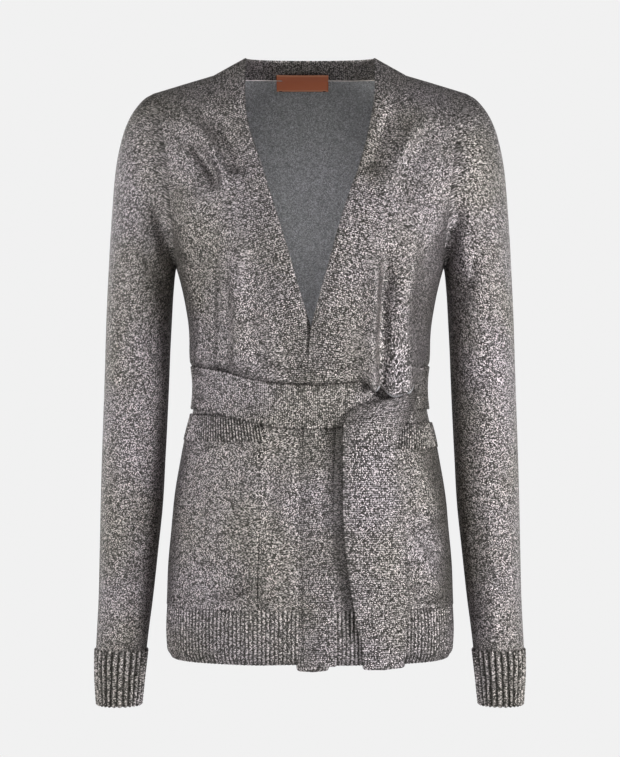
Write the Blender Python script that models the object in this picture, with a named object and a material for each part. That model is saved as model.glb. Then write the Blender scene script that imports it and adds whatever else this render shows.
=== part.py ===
"""A belted knit cardigan with a deep V neck, long sleeves, two patch pockets and a tied belt.

It keeps the hollow form that it has when worn, with nothing inside it. Metres, +Z up, the front faces -Y,
and left and right are the wearer's, so the left side lies at +X. The origin is midway between the two
points where the neck edge meets the shoulders. Each piece of cloth is a closed wall between an outer and an
inner grid of points, cut from one surface that is worked out from the tables of sections below.
"""

import math

import bmesh
import bpy
import numpy as np

MM = 0.001

# Thicknesses and gaps
CLOTH = 2.0 * MM
BELT_CLOTH = 2.4 * MM
POCKET_CLOTH = 1.4 * MM
LABEL_CLOTH = 0.8 * MM
RIB_HEIGHT = 0.7 * MM
SEAM = 0.3 * MM
EASE = 0.7 * MM  # between a loose piece and what it lies on

# Heights below the shoulder line
HEM_BOTTOM = -0.656
HEM_SEAM = -0.598
ARMPIT = -0.230
SHOULDER_POINT = -0.039
NECK_CORNER = -0.0187
BACK_NECK = -0.0142

# Widths, from the middle outwards
NECK_EDGE_X = 0.071
NECK_SEAM_X = 0.1045
BAND_SPAN = 0.0335
POCKET_EDGE_X = 0.055

# The column at the pocket's inner edge moves, over these heights, to this share of the way from band to side
MIDDLE_SHARE = 0.33
MIDDLE_Z = (-0.39, -0.27)

# How far out, at most, the back's column below the neck corner lies on the way to the armhole
CORNER_REACH = 0.86

# Rib pitches and rounding
HEM_RIB = 4.5 * MM
CUFF_RIB = 6.2 * MM
TRIM_RIB = 3.3 * MM
TRIM_LEAN = 0.20
ROUNDNESS = 2.4
SHOULDER_ROUND = 0.050
NECK_BACK_DEPTH = 0.040
NECK_BACK_RISE = 0.0046

# Heights of the rows of points behind the pockets, and from the belt up to the armpit
POCKET_LEVELS = (-0.560, -0.518, -0.474)
BODICE_LEVELS = (-0.381, -0.358, -0.336, -0.312, -0.286, -0.256)

# Numbers of spans across each piece
ARMHOLE_SPANS = 10
SIDE_SPANS = 10
FRONT_SPANS = 5
BAND_SPANS = 3
BACK_SHOULDER_SPANS = 5
BACK_NECK_SPANS = 7

# The right front lies under the left one where they wrap over each other
UNDERLAP = 3.4 * MM
UNDERLAP_X = (-0.055, -0.018)
UNDERLAP_Z = (-0.240, -0.285)

# The belt, which dips at the front towards its knot
BELT_HEIGHT = -0.362
BELT_DIP = 0.021
BELT_DIP_POWER = 5
BELT_HALF = 0.0225
BELT_FLARE = 3.0 * MM
BELT_ENDS_X = (0.060, 0.098)
BELT_CROSSING_X = -0.035
BELT_FLARE_X = (-0.122, -0.040)

# The plain woven label inside the back of the neck
LABEL_X = (-0.039, 0.019)
LABEL_Z = (-0.0340, -0.0178)


def table(columns, rows):
    """Named columns, with a row for each section or fold."""
    values = np.array(rows, float)
    return {name: values[:, i] for i, name in enumerate(columns.split())}


# Sections of the body from the hem up: half its width and how far the front and the back stand out
TORSO = table(
    "z half_width front back",
    [
        (-0.656, 0.1550, 0.098, 0.102),
        (-0.630, 0.1568, 0.101, 0.105),
        (-0.590, 0.1553, 0.102, 0.107),
        (-0.552, 0.1538, 0.102, 0.108),
        (-0.519, 0.1507, 0.101, 0.107),
        (-0.476, 0.1464, 0.099, 0.104),
        (-0.445, 0.1412, 0.096, 0.100),
        (-0.414, 0.1352, 0.092, 0.095),
        (-0.390, 0.1290, 0.088, 0.090),
        (-0.372, 0.1266, 0.086, 0.087),
        (-0.352, 0.1266, 0.087, 0.086),
        (-0.331, 0.1292, 0.093, 0.089),
        (-0.310, 0.1308, 0.099, 0.092),
        (-0.285, 0.1345, 0.104, 0.096),
        (-0.255, 0.1402, 0.107, 0.099),
        (-0.230, 0.1470, 0.107, 0.101),
        (-0.200, 0.1585, 0.105, 0.102),
        (-0.150, 0.1820, 0.094, 0.100),
        (-0.100, 0.2050, 0.077, 0.094),
        (-0.050, 0.2150, 0.056, 0.083),
        (-0.020, 0.2200, 0.042, 0.071),
        (0.020, 0.2250, 0.030, 0.058),
    ],
)

# The line that the front and the back close to at the top
SHOULDER = table(
    "x z",
    [
        (0.0, 0.0450),
        (NECK_EDGE_X, 0.0),
        (NECK_SEAM_X, NECK_CORNER),
        (0.172, SHOULDER_POINT),
        (0.225, -0.0550),
    ],
)

ARMHOLE = table(
    "z x",
    [
        (ARMPIT, 0.1470),
        (-0.200, 0.1488),
        (-0.150, 0.1510),
        (-0.100, 0.1560),
        (-0.060, 0.1650),
        (SHOULDER_POINT, 0.1720),
    ],
)

# The free edges of the front band, from the hem to the neck corner
NECKLINE = table(
    "z under over",
    [
        (-0.656, 0.0200, -0.0063),
        (-0.417, 0.0200, -0.0063),
        (-0.365, 0.0159, -0.0030),
        (-0.327, 0.0085, -0.0008),
        (-0.298, 0.0002, 0.0016),
        (-0.268, -0.0088, 0.0095),
        (-0.224, -0.0215, 0.0218),
        (-0.156, -0.0423, 0.0420),
        (-0.124, -0.0521, 0.0535),
        (-0.072, -0.0680, 0.0662),
        (-0.027, -0.0710, 0.0715),
        (0.000, -NECK_EDGE_X, NECK_EDGE_X),
    ],
)

# How much higher the band's free edge is than its seam, square across it
BAND_RISE = table(
    "z rise",
    [
        (HEM_BOTTOM, 0.0),
        (-0.360, 0.0),
        (-0.310, 0.0060),
        (-0.270, 0.0095),
        (-0.130, 0.0100),
        (-0.070, 0.0120),
        (NECK_CORNER, -NECK_CORNER),
    ],
)

# Sections of a sleeve past the armhole: its outer and inner ends, half its depth, and how far forward it is
SLEEVE = table(
    "outer_x outer_z inner_x inner_z half_depth forward",
    [
        (0.1835, -0.0465, 0.1478, -0.2338, 0.0600, 0.000),
        (0.1945, -0.0600, 0.1484, -0.2382, 0.0575, 0.000),
        (0.2030, -0.0775, 0.1490, -0.2440, 0.0545, 0.000),
        (0.2090, -0.0985, 0.1496, -0.2512, 0.0515, 0.000),
        (0.2135, -0.1240, 0.1503, -0.2600, 0.0490, 0.000),
        (0.2165, -0.1570, 0.1510, -0.2710, 0.0470, 0.000),
        (0.2190, -0.1930, 0.1517, -0.2850, 0.0450, 0.000),
        (0.2212, -0.2350, 0.1525, -0.3020, 0.0435, 0.001),
        (0.2233, -0.2800, 0.1535, -0.3230, 0.0420, 0.002),
        (0.2246, -0.3250, 0.1545, -0.3520, 0.0410, 0.003),
        (0.2262, -0.3780, 0.1562, -0.3930, 0.0400, 0.004),
        (0.2280, -0.4340, 0.1585, -0.4400, 0.0385, 0.006),
        (0.2293, -0.4880, 0.1612, -0.4900, 0.0370, 0.008),
        (0.2302, -0.5400, 0.1663, -0.5400, 0.0355, 0.010),
        (0.2314, -0.5950, 0.1722, -0.5950, 0.0335, 0.012),
        (0.2330, -0.6280, 0.1765, -0.6280, 0.0315, 0.013),
        (0.2340, -0.6480, 0.1788, -0.6480, 0.0300, 0.013),
        (0.2340, -0.6770, 0.1822, -0.6770, 0.0275, 0.013),
        (0.2322, -0.7070, 0.1853, -0.7070, 0.0250, 0.013),
    ],
)
CUFF_SECTIONS = 3

# How suddenly a fold ends: a higher power keeps its height for longer
FOLD_END = 3

# Folds as ridges, or troughs where the height is below zero: front or back, its two ends, width and height
FOLDS = table(
    "front x1 z1 x2 z2 width height",
    [
        (1, -0.1045, -0.215, -0.1045, -0.325, 0.009, -0.0060),
        (1, -0.0743, -0.190, -0.0720, -0.325, 0.014, 0.0055),
        (1, 0.0634, -0.235, 0.0620, -0.330, 0.012, 0.0050),
        (1, 0.0845, -0.195, 0.0790, -0.330, 0.009, -0.0060),
        (1, 0.1120, -0.170, 0.1080, -0.325, 0.014, 0.0060),
        (1, -0.1375, -0.068, -0.0832, -0.140, 0.012, 0.0035),
        (1, -0.1330, -0.088, -0.0880, -0.158, 0.010, -0.0035),
        (1, -0.1170, -0.135, -0.1400, -0.222, 0.012, 0.0040),
        (1, 0.1240, -0.067, 0.0854, -0.128, 0.012, 0.0035),
        (1, 0.0860, -0.055, 0.0830, -0.122, 0.010, -0.0030),
        (1, -0.1870, -0.162, -0.1580, -0.225, 0.010, -0.0045),
        (1, -0.1960, -0.200, -0.1850, -0.260, 0.011, -0.0030),
        (1, 0.1740, -0.165, 0.1540, -0.215, 0.010, -0.0045),
        (1, 0.1950, -0.210, 0.1830, -0.275, 0.011, -0.0030),
        (1, -0.0158, -0.460, -0.0507, -0.590, 0.016, 0.0050),
        (1, -0.0400, -0.425, -0.0420, -0.536, 0.012, -0.0040),
        (1, -0.1000, -0.565, -0.0300, -0.583, 0.012, -0.0030),
        (1, 0.1200, -0.430, 0.1130, -0.490, 0.018, 0.0040),
        (1, 0.1100, -0.520, 0.1180, -0.580, 0.016, 0.0035),
        (0, -0.0850, -0.235, -0.0780, -0.318, 0.014, 0.0050),
        (0, -0.0450, -0.260, -0.0500, -0.320, 0.011, -0.0045),
        (0, 0.0050, -0.230, 0.0000, -0.318, 0.014, 0.0045),
        (0, 0.0520, -0.250, 0.0560, -0.320, 0.011, -0.0050),
        (0, 0.0950, -0.225, 0.0860, -0.318, 0.014, 0.0050),
        (0, -0.0700, -0.400, -0.0860, -0.520, 0.016, -0.0040),
        (0, -0.0250, -0.400, -0.0220, -0.560, 0.018, 0.0040),
        (0, 0.0350, -0.400, 0.0420, -0.500, 0.015, -0.0040),
        (0, 0.0800, -0.400, 0.0980, -0.540, 0.018, 0.0040),
        (0, -0.1330, -0.090, -0.0900, -0.175, 0.013, 0.0035),
        (0, 0.1330, -0.085, 0.0920, -0.165, 0.013, 0.0035),
        (0, -0.1870, -0.165, -0.1570, -0.220, 0.010, -0.0045),
        (0, 0.1850, -0.165, 0.1560, -0.220, 0.010, -0.0045),
        (0, -0.2000, -0.395, -0.1800, -0.425, 0.011, -0.0030),
        (0, 0.2050, -0.385, 0.1800, -0.420, 0.011, -0.0030),
    ],
)

# The knot from its left end to the roll that goes up behind the bodice
KNOT = table(
    "x z half_height thickness",
    [
        (0.0360, -0.3865, 0.0190, 0.0030),
        (0.0450, -0.3865, 0.0222, 0.0062),
        (0.0580, -0.3850, 0.0215, 0.0080),
        (0.0720, -0.3820, 0.0195, 0.0090),
        (0.0860, -0.3780, 0.0170, 0.0090),
        (0.0980, -0.3735, 0.0140, 0.0080),
        (0.1080, -0.3690, 0.0105, 0.0060),
        (0.1130, -0.3665, 0.0065, 0.0035),
    ],
)
KNOT_SIDES = 12
KNOT_GAP = 0.9 * MM

# The two hanging ends of the belt: both edges, and how far each stands off the body
TAIL_OVER = table(
    "z left right off",
    [
        (-0.6270, 0.0515, 0.1010, 0.0072),
        (-0.6000, 0.0470, 0.1012, 0.0072),
        (-0.5600, 0.0405, 0.1005, 0.0074),
        (-0.5200, 0.0365, 0.0985, 0.0076),
        (-0.4800, 0.0348, 0.0950, 0.0080),
        (-0.4450, 0.0345, 0.0880, 0.0088),
        (-0.4200, 0.0345, 0.0862, 0.0105),
        (-0.4000, 0.0345, 0.0860, 0.0126),
        (-0.3850, 0.0350, 0.0850, 0.0136),
        (-0.3720, 0.0400, 0.0780, 0.0133),
    ],
)
TAIL_OVER_SLANT = 0.010
TAIL_UNDER = table(
    "z left right off",
    [
        (-0.6585, 0.0560, 0.0985, 0.0026),
        (-0.6200, 0.0545, 0.0980, 0.0030),
        (-0.5700, 0.0510, 0.0960, 0.0036),
        (-0.5200, 0.0480, 0.0930, 0.0038),
        (-0.4700, 0.0460, 0.0890, 0.0040),
        (-0.4130, 0.0450, 0.0840, 0.0044),
    ],
)
TAIL_SPANS = 4

# Each side's pocket: the top of its bag and of its ribbed trim, and how far the bag bellies out
POCKETS = table(
    "hand bag_top trim_top belly",
    [
        (-1, -0.4190, -0.3915, 0.0015),
        (1, -0.4265, -0.4010, 0.0015),
    ],
)

# Colour, roughness and metallic share of each material
FINISHES = {
    "lurex_knit": ((0.145, 0.135, 0.13), 0.42, 0.55),
    "lurex_rib": ((0.115, 0.11, 0.105), 0.45, 0.55),
    "orange_label": ((0.83, 0.19, 0.07), 0.6, 0.0),
}


def smooth(x, xs, ys):
    """A smooth curve through the points, level beyond its ends."""
    slopes = np.gradient(ys, xs)
    i = np.clip(np.searchsorted(xs, x) - 1, 0, len(xs) - 2)
    step = xs[i + 1] - xs[i]
    t = np.clip((x - xs[i]) / step, 0, 1)
    ends = ys[i] * (1 + 2 * t) * (1 - t) ** 2 + ys[i + 1] * t**2 * (3 - 2 * t)
    return ends + step * (slopes[i] * t * (1 - t) ** 2 - slopes[i + 1] * t**2 * (1 - t))


def ease_in(x, start, end):
    """From 0 at start to 1 at end, without a corner."""
    t = np.clip((x - start) / (end - start), 0, 1)
    return t * t * (3 - 2 * t)


def unit(vectors):
    return vectors / np.maximum(np.linalg.norm(vectors, axis=-1, keepdims=True), 1e-12)


def half_width(z):
    return smooth(z, TORSO["z"], TORSO["half_width"])


def opened(x, z):
    """0 on the shoulder line, rising to 1 once the sheet has rounded over it."""
    drop = np.interp(np.abs(x), SHOULDER["x"], SHOULDER["z"]) - z
    u = np.clip(drop / SHOULDER_ROUND, 0, 1)
    return np.sqrt(1 - (1 - u) ** 2)


def depth(side, x, z):
    """How far the front or the back stands out from the plane of the side seams."""
    reach = np.clip(np.abs(x) / half_width(z), 0, 1)
    across = (1 - reach**ROUNDNESS) ** (1 / ROUNDNESS)
    return smooth(z, TORSO["z"], TORSO[side]) * across * opened(x, z)


def turn_of(x, width):
    """The angle from the front at which the rounded section reaches x."""
    return np.arcsin(np.clip(np.abs(x) / width, 0, 1) ** (ROUNDNESS / 2))


def rounded_xs(outer, inner, width, spans):
    """Places from outer to inner, spaced evenly in angle round the side."""
    turns = np.linspace(turn_of(outer, width), turn_of(inner, width), spans + 1)
    return width * np.sin(turns) ** (2 / ROUNDNESS)


def armhole_share():
    """The share of the way from the armpit to the shoulder for each row, close together at both ends."""
    turns = np.linspace(0, math.pi, ARMHOLE_SPANS + 1)
    return (1 - np.cos(turns)) / 2


def levels(bag_top, trim_top):
    """Heights of the rows below the armpit: the hem, the pocket's own edges, the waist and the bodice."""
    return [HEM_BOTTOM, HEM_SEAM, *POCKET_LEVELS, bag_top, trim_top, *BODICE_LEVELS]


def grid_normals(grid, flip=1, closed=False):
    """Unit normals of a grid of points, from its neighbours on every side."""
    if closed:
        wide = np.concatenate([grid[:, -1:], grid, grid[:, :1]], axis=1)
        across = np.gradient(wide, axis=1)[:, 1:-1]
    else:
        across = np.gradient(grid, axis=1)
    return flip * unit(np.cross(across, np.gradient(grid, axis=0)))


def folded(grid, normal, front):
    """Moves a grid out and in along the folds of its side, which fade out at both ends and where it turns."""
    lift = np.zeros(grid.shape[:2])
    places = grid[..., [0, 2]]
    for i in np.flatnonzero(FOLDS["front"] == front):
        start = np.array([FOLDS["x1"][i], FOLDS["z1"][i]])
        run = np.array([FOLDS["x2"][i], FOLDS["z2"][i]]) - start
        t = np.clip((places - start) @ run / (run @ run), 0, 1)
        away = np.linalg.norm(places - start - t[..., None] * run, axis=-1)
        swell = 1 - np.abs(2 * t - 1) ** FOLD_END
        lift += FOLDS["height"][i] * swell * np.exp(-((away / FOLDS["width"][i]) ** 2))
    return grid + normal * (lift * np.abs(normal[..., 1]))[..., None]


def front_grid(hand, rows_below):
    """One front with its band, from the hem up and from the side in to the band's free edge."""
    edge_name = "over" if hand > 0 else "under"
    share = armhole_share()
    side_z = np.concatenate([rows_below, ARMPIT + (SHOULDER_POINT - ARMPIT) * share])
    seam_z = np.concatenate([rows_below, ARMPIT + (NECK_CORNER - ARMPIT) * share])
    rows = []
    for i, (z_side, z_seam) in enumerate(zip(side_z, seam_z)):
        rise = smooth(z_seam, BAND_RISE["z"], BAND_RISE["rise"])
        edge = hand * smooth(z_seam + rise, NECKLINE["z"], NECKLINE[edge_name])
        seam = edge + BAND_SPAN
        above = i >= len(rows_below)
        side = np.interp(z_side, ARMHOLE["z"], ARMHOLE["x"]) if above else half_width(z_side)
        middle = seam + (side - seam) * MIDDLE_SHARE
        middle = POCKET_EDGE_X + (middle - POCKET_EDGE_X) * ease_in(z_seam, *MIDDLE_Z)
        xs = np.concatenate(
            [
                rounded_xs(side, middle, max(half_width(z_side), side), SIDE_SPANS),
                np.linspace(middle, seam, FRONT_SPANS + 1)[1:],
                np.linspace(seam, edge, BAND_SPANS + 1)[1:],
            ]
        )
        inward = np.clip((side - xs) / (side - seam), 0, 1)
        beyond = np.clip((seam - xs) / (seam - edge), 0, 1)
        zs = z_side + (z_seam - z_side) * inward + rise * beyond
        rows.append(np.stack([hand * xs, -depth("front", xs, zs), zs], axis=-1))
    grid = np.array(rows)
    normal = grid_normals(grid, -hand)
    grid = folded(grid, normal, 1)
    if hand < 0:
        tuck = ease_in(grid[..., 0], *UNDERLAP_X) * ease_in(grid[..., 2], *UNDERLAP_Z)
        grid = grid - normal * (UNDERLAP * tuck)[..., None]
    return grid


def back_grid(rows_below):
    """The back, from the hem up and from the right side seam across to the left one."""
    share = armhole_share()
    side_z = np.concatenate([rows_below, ARMPIT + (SHOULDER_POINT - ARMPIT) * share])
    corner_z = np.concatenate([rows_below, ARMPIT + (NECK_CORNER - ARMPIT) * share])
    middle_z = np.concatenate([rows_below, ARMPIT + (BACK_NECK - ARMPIT) * share])
    spans = BACK_SHOULDER_SPANS + BACK_NECK_SPANS
    rows = []
    for i, (z_side, z_corner, z_middle) in enumerate(zip(side_z, corner_z, middle_z)):
        above = max(0, i - len(rows_below)) / ARMHOLE_SPANS
        width = half_width(z_side)
        side = np.interp(z_side, ARMHOLE["z"], ARMHOLE["x"]) if i >= len(rows_below) else width
        lower_corner = width * math.sin(math.pi / 2 * BACK_NECK_SPANS / spans) ** (2 / ROUNDNESS)
        corner = lower_corner + (NECK_SEAM_X - lower_corner) * above**2
        corner = min(corner, side * CORNER_REACH) if above < 1 else NECK_SEAM_X
        xs = np.concatenate(
            [
                rounded_xs(side, corner, max(width, side), BACK_SHOULDER_SPANS),
                np.linspace(corner, 0, BACK_NECK_SPANS + 1)[1:],
            ]
        )
        inward = np.clip((side - xs) / (side - corner), 0, 1)
        round_in = 1 - np.clip(xs / corner, 0, 1) ** 2
        zs = z_side + (z_corner - z_side) * inward + (z_middle - z_corner) * round_in
        half = np.stack([xs, depth("back", xs, zs), zs], axis=-1)
        rows.append(np.concatenate([half * [-1, 1, 1], half[-2::-1]]))
    grid = np.array(rows)
    return folded(grid, grid_normals(grid, -1), 0)


def neck_edge(x_seam):
    """The free edge of the neckband above a place on its seam, behind the neck."""
    turn = math.pi / 2 * (1 + x_seam / NECK_SEAM_X)
    around = np.array([-math.cos(turn) * NECK_EDGE_X, math.sin(turn) * NECK_BACK_DEPTH, 0])
    return around + [0, 0, NECK_BACK_RISE * math.sin(turn)]


def band_grid(right, left, back):
    """The front band: up the right front, round the back of the neck and down the left front.

    Its first column lies in the panels beside it and only helps to find the normals."""
    first = SIDE_SPANS + FRONT_SPANS - 1
    neck = []
    corner = BACK_SHOULDER_SPANS
    for i in range(corner + 1, back.shape[1] - corner - 1):
        seam = back[-1, i]
        edge = neck_edge(seam[0])
        lean = np.linspace(0, 1, BAND_SPANS + 1)[:, None]
        neck.append(np.concatenate([back[-2:-1, i], seam + (edge - seam) * lean]))
    return np.concatenate([right[:, first:], np.array(neck), left[::-1, first:]])


def ring_frame(ring, hand):
    """For an armhole's ring of points, the way that the sleeve leaves it and its normals."""
    slope = ring[ARMHOLE_SPANS] - ring[0]
    way = unit(np.array([hand * slope[2], 0, -hand * slope[0]]))
    closed = np.concatenate([ring[-1:], ring, ring[:1]])
    normal = unit(np.cross(np.gradient(closed, axis=0)[1:-1], way))
    outwards = np.sign(np.sum(normal * (ring - ring.mean(axis=0))))
    return way, normal * outwards


def sleeve_grid(ring, hand):
    """A sleeve from the armhole's ring to the end of the cuff."""
    rows = [ring]
    turns = np.linspace(0, 2 * math.pi, 2 * ARMHOLE_SPANS, endpoint=False)
    for i in range(len(SLEEVE["outer_x"])):
        outer = np.array([hand * SLEEVE["outer_x"][i], 0, SLEEVE["outer_z"][i]])
        inner = np.array([hand * SLEEVE["inner_x"][i], 0, SLEEVE["inner_z"][i]])
        centre = (outer + inner) / 2 - [0, SLEEVE["forward"][i], 0]
        reach = (outer - inner) / 2
        deep = np.array([0, SLEEVE["half_depth"][i], 0])
        rows.append(centre - np.cos(turns)[:, None] * reach - np.sin(turns)[:, None] * deep)
    return np.array(rows)


def outward_normals(grid):
    """Normals of a closed sleeve, turned away from its middle."""
    normal = grid_normals(grid, 1, closed=True)
    middle = grid.mean(axis=1, keepdims=True)
    return normal * np.sign(np.sum(normal * (grid - middle)))


def closed_wall(name, outer, inner, steps=None, closed=False):
    """One closed body between two grids. Each span of the inner grid faces that many spans of the outer one."""
    rows, wide = outer.shape[:2]
    narrow = inner.shape[1]
    spans = narrow if closed else narrow - 1
    steps = steps or [1] * spans
    starts = np.concatenate([[0], np.cumsum(steps)])

    def out(row, column):
        return row * wide + column % wide

    def within(row, column):
        return rows * wide + row * narrow + column % narrow

    faces = []
    for r in range(rows - 1):
        for c in range(starts[-1]):
            faces.append((out(r, c), out(r, c + 1), out(r + 1, c + 1), out(r + 1, c)))
        for c in range(spans):
            faces.append((within(r, c), within(r + 1, c), within(r + 1, c + 1), within(r, c + 1)))
        if not closed:
            last = starts[-1]
            faces.append((out(r, 0), out(r + 1, 0), within(r + 1, 0), within(r, 0)))
            faces.append((out(r, last), within(r, spans), within(r + 1, spans), out(r + 1, last)))
    for r in (0, rows - 1):
        for c in range(spans):
            rim = [out(r, i) for i in range(starts[c], starts[c + 1] + 1)]
            faces.append((*rim, within(r, c + 1), within(r, c)))
    points = np.concatenate([outer.reshape(-1, 3), inner.reshape(-1, 3)])
    return solid(name, points, faces)


def solid(name, points, faces):
    """A mesh object from points and faces, with its faces turned out and shaded smooth."""
    mesh = bpy.data.meshes.new(name)
    mesh.from_pydata([tuple(point) for point in points], [], faces)
    shaped = bmesh.new()
    shaped.from_mesh(mesh)
    bmesh.ops.recalc_face_normals(shaped, faces=shaped.faces)
    shaped.to_mesh(mesh)
    shaped.free()
    mesh.shade_smooth()
    mesh.set_sharp_from_angle(angle=math.radians(40))
    made = bpy.data.objects.new(name, mesh)
    garment.objects.link(made)
    return made


def ribbed_columns(grid, normal, pitch, closed=False, lean=0.0):
    """The outer points of ribbing: the grid's spans split into ribs, every other column raised."""
    spans = grid.shape[1] if closed else grid.shape[1] - 1
    columns, steps, count = [], [], 0
    for c in range(spans):
        after = (c + 1) % grid.shape[1]
        length = np.linalg.norm(grid[:, after] - grid[:, c], axis=-1).mean()
        step = max(2, round(2 * length / pitch))
        steps.append(step)
        for i in range(step):
            t = i / step
            point = grid[:, c] + (grid[:, after] - grid[:, c]) * t
            facing = unit(normal[:, c] + (normal[:, after] - normal[:, c]) * t)
            columns.append(point + facing * (RIB_HEIGHT * (count % 2)))
            count += 1
    if not closed:
        columns.append(grid[:, -1])
    outer = np.stack(columns, axis=1)
    if lean:
        rise = outer[-1:, :, 2] - outer[:, :, 2]
        along = unit(np.gradient(outer, axis=1))
        inside = np.minimum(np.arange(outer.shape[1]), np.arange(outer.shape[1])[::-1]) > 1
        outer = outer - along * (lean * rise * inside)[..., None]
    return outer, steps


def trimmed(grid, seams):
    """A copy whose sewn edges stop half a seam short of their neighbours: names of edges, or a name and a way."""
    grid = grid.copy()
    edges = {"bottom": (0, 1), "top": (-1, -2)}
    sides = {"first": (0, 1), "last": (-1, -2)}
    source = grid.copy()
    for name in seams:
        if name in edges:
            here, beside = edges[name]
            grid[here] += unit(source[beside] - source[here]) * SEAM / 2
        else:
            here, beside = sides[name]
            grid[:, here] += unit(source[:, beside] - source[:, here]) * SEAM / 2
    return grid


def sewn(name, grid, normal, seams, thickness=CLOTH, rib=None, closed=False):
    """A piece of cloth cut from a grid, plain, or ribbed on its outer side."""
    cut = trimmed(grid, seams)
    inner = cut - normal * thickness
    if rib is None:
        return closed_wall(name, cut, inner, closed=closed)
    outer, steps = ribbed_columns(cut, normal, rib, closed)
    return closed_wall(name, outer, inner, steps, closed)


def part_armhole(grid, way, rows_below, y_way):
    """Draws a panel's armhole edge back from the sleeve, and its corner at the armpit back from the side seam."""
    grid = grid.copy()
    grid[rows_below:, 0] -= way * SEAM / 2
    grid[: rows_below + 1, 0, 1] += y_way * SEAM / 2
    return grid


def at(grid, normal, x, z):
    """The point and the normal on a front or back grid at a place below the armpit, seen from the front."""
    column_z = grid[:, grid.shape[1] // 2, 2]
    r = int(np.clip(np.searchsorted(column_z, z) - 1, 0, len(column_z) - 2))
    t = min((z - column_z[r]) / (column_z[r + 1] - column_z[r]), 1)
    row = grid[r] * (1 - t) + grid[r + 1] * t
    facing = normal[r] * (1 - t) + normal[r + 1] * t
    order = np.argsort(row[:, 0])
    point = [np.interp(x, row[order, 0], row[order, k]) for k in range(3)]
    turned = [np.interp(x, row[order, 0], facing[order, k]) for k in range(3)]
    return np.array(point), unit(np.array(turned))


def down_column(grid, normal, column, z):
    """The point and the normal where a column of the grid crosses a height."""
    zs = grid[:, column, 2]
    point = np.array([np.interp(z, zs, grid[:, column, k]) for k in range(3)])
    turned = np.array([np.interp(z, zs, normal[:, column, k]) for k in range(3)])
    return point, unit(turned)


def belt_level(point, side):
    """The height of the belt's middle line: level at the back and sides, dipping at the front."""
    if side == "back":
        return BELT_HEIGHT
    front = np.clip(-point[1] / np.interp(BELT_HEIGHT, TORSO["z"], TORSO["front"]), 0, 1)
    return BELT_HEIGHT - BELT_DIP * front**BELT_DIP_POWER


def belt_wrap(left, right, back):
    """The belt's round from one side of the knot, across the front, round the back and to the other side."""
    route = []
    grid, normal = left
    start, end = BELT_ENDS_X
    last = grid.shape[1] - 1
    waist_x = [down_column(grid, normal, c, BELT_HEIGHT)[0][0] for c in range(last + 1)]
    route += [(left, c, "front") for c in range(last + 1) if waist_x[c] < start]
    right_x = [down_column(*right, c, BELT_HEIGHT)[0][0] for c in range(last + 1)]
    route += [(right, c, "front") for c in range(last, 0, -1) if right_x[c] < BELT_CROSSING_X]
    route += [(back, c, "back") for c in range(back[0].shape[1])]
    route += [(left, c, "front") for c in range(1, last + 1) if waist_x[c] > end]
    inner, facings = [], []
    for (cloth, turned), column, side in route:
        probe, _ = down_column(cloth, turned, column, BELT_HEIGHT)
        level = belt_level(probe, side)
        line, facing = [], []
        for drop in (-BELT_HALF, 0, BELT_HALF):
            point, out = down_column(cloth, turned, column, level + drop)
            over_trim = side == "front" and drop < 0 and BELT_FLARE_X[0] < point[0] < BELT_FLARE_X[1]
            line.append(point + out * (EASE + (BELT_FLARE if over_trim else 0)))
            facing.append(out)
        inner.append(line)
        facings.append(facing)
    inner = np.array(inner).transpose(1, 0, 2)
    facings = np.array(facings).transpose(1, 0, 2)
    return closed_wall("belt_wrap", inner + facings * BELT_CLOTH, inner)


def belt_knot(left):
    """The knot as one rounded solid of folded cloth, lofted along the belt."""
    grid, normal = left
    turns = np.linspace(0, 2 * math.pi, KNOT_SIDES, endpoint=False)
    base = EASE + BELT_CLOTH + KNOT_GAP
    points = []
    for i in range(len(KNOT["x"])):
        for turn in turns:
            place = KNOT["z"][i] + KNOT["half_height"][i] * math.cos(turn)
            point, out = at(grid, normal, KNOT["x"][i], place)
            points.append(point + out * (base + KNOT["thickness"][i] * (1 - math.sin(turn)) / 2))
    sections = len(KNOT["x"])
    faces = [tuple(range(KNOT_SIDES)), tuple((sections - 1) * KNOT_SIDES + k for k in range(KNOT_SIDES))]
    for i in range(sections - 1):
        for k in range(KNOT_SIDES):
            here, above = i * KNOT_SIDES, (i + 1) * KNOT_SIDES
            beside = (k + 1) % KNOT_SIDES
            faces.append((here + k, here + beside, above + beside, above + k))
    return solid("belt_knot", points, faces)


def belt_tail(name, left, shape, slant):
    """A hanging end of the belt, laid on the left front and slanted along its bottom."""
    grid, normal = left
    lines, facings = [], []
    for i, z in enumerate(shape["z"]):
        line, facing = [], []
        for t in np.linspace(0, 1, TAIL_SPANS + 1):
            x = shape["left"][i] + (shape["right"][i] - shape["left"][i]) * t
            point, out = at(grid, normal, x, z + (slant * t if i == 0 else 0))
            line.append(point + out * shape["off"][i])
            facing.append(out)
        lines.append(line)
        facings.append(facing)
    inner = np.array(lines)
    return closed_wall(name, inner + np.array(facings) * CLOTH, inner)


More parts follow.
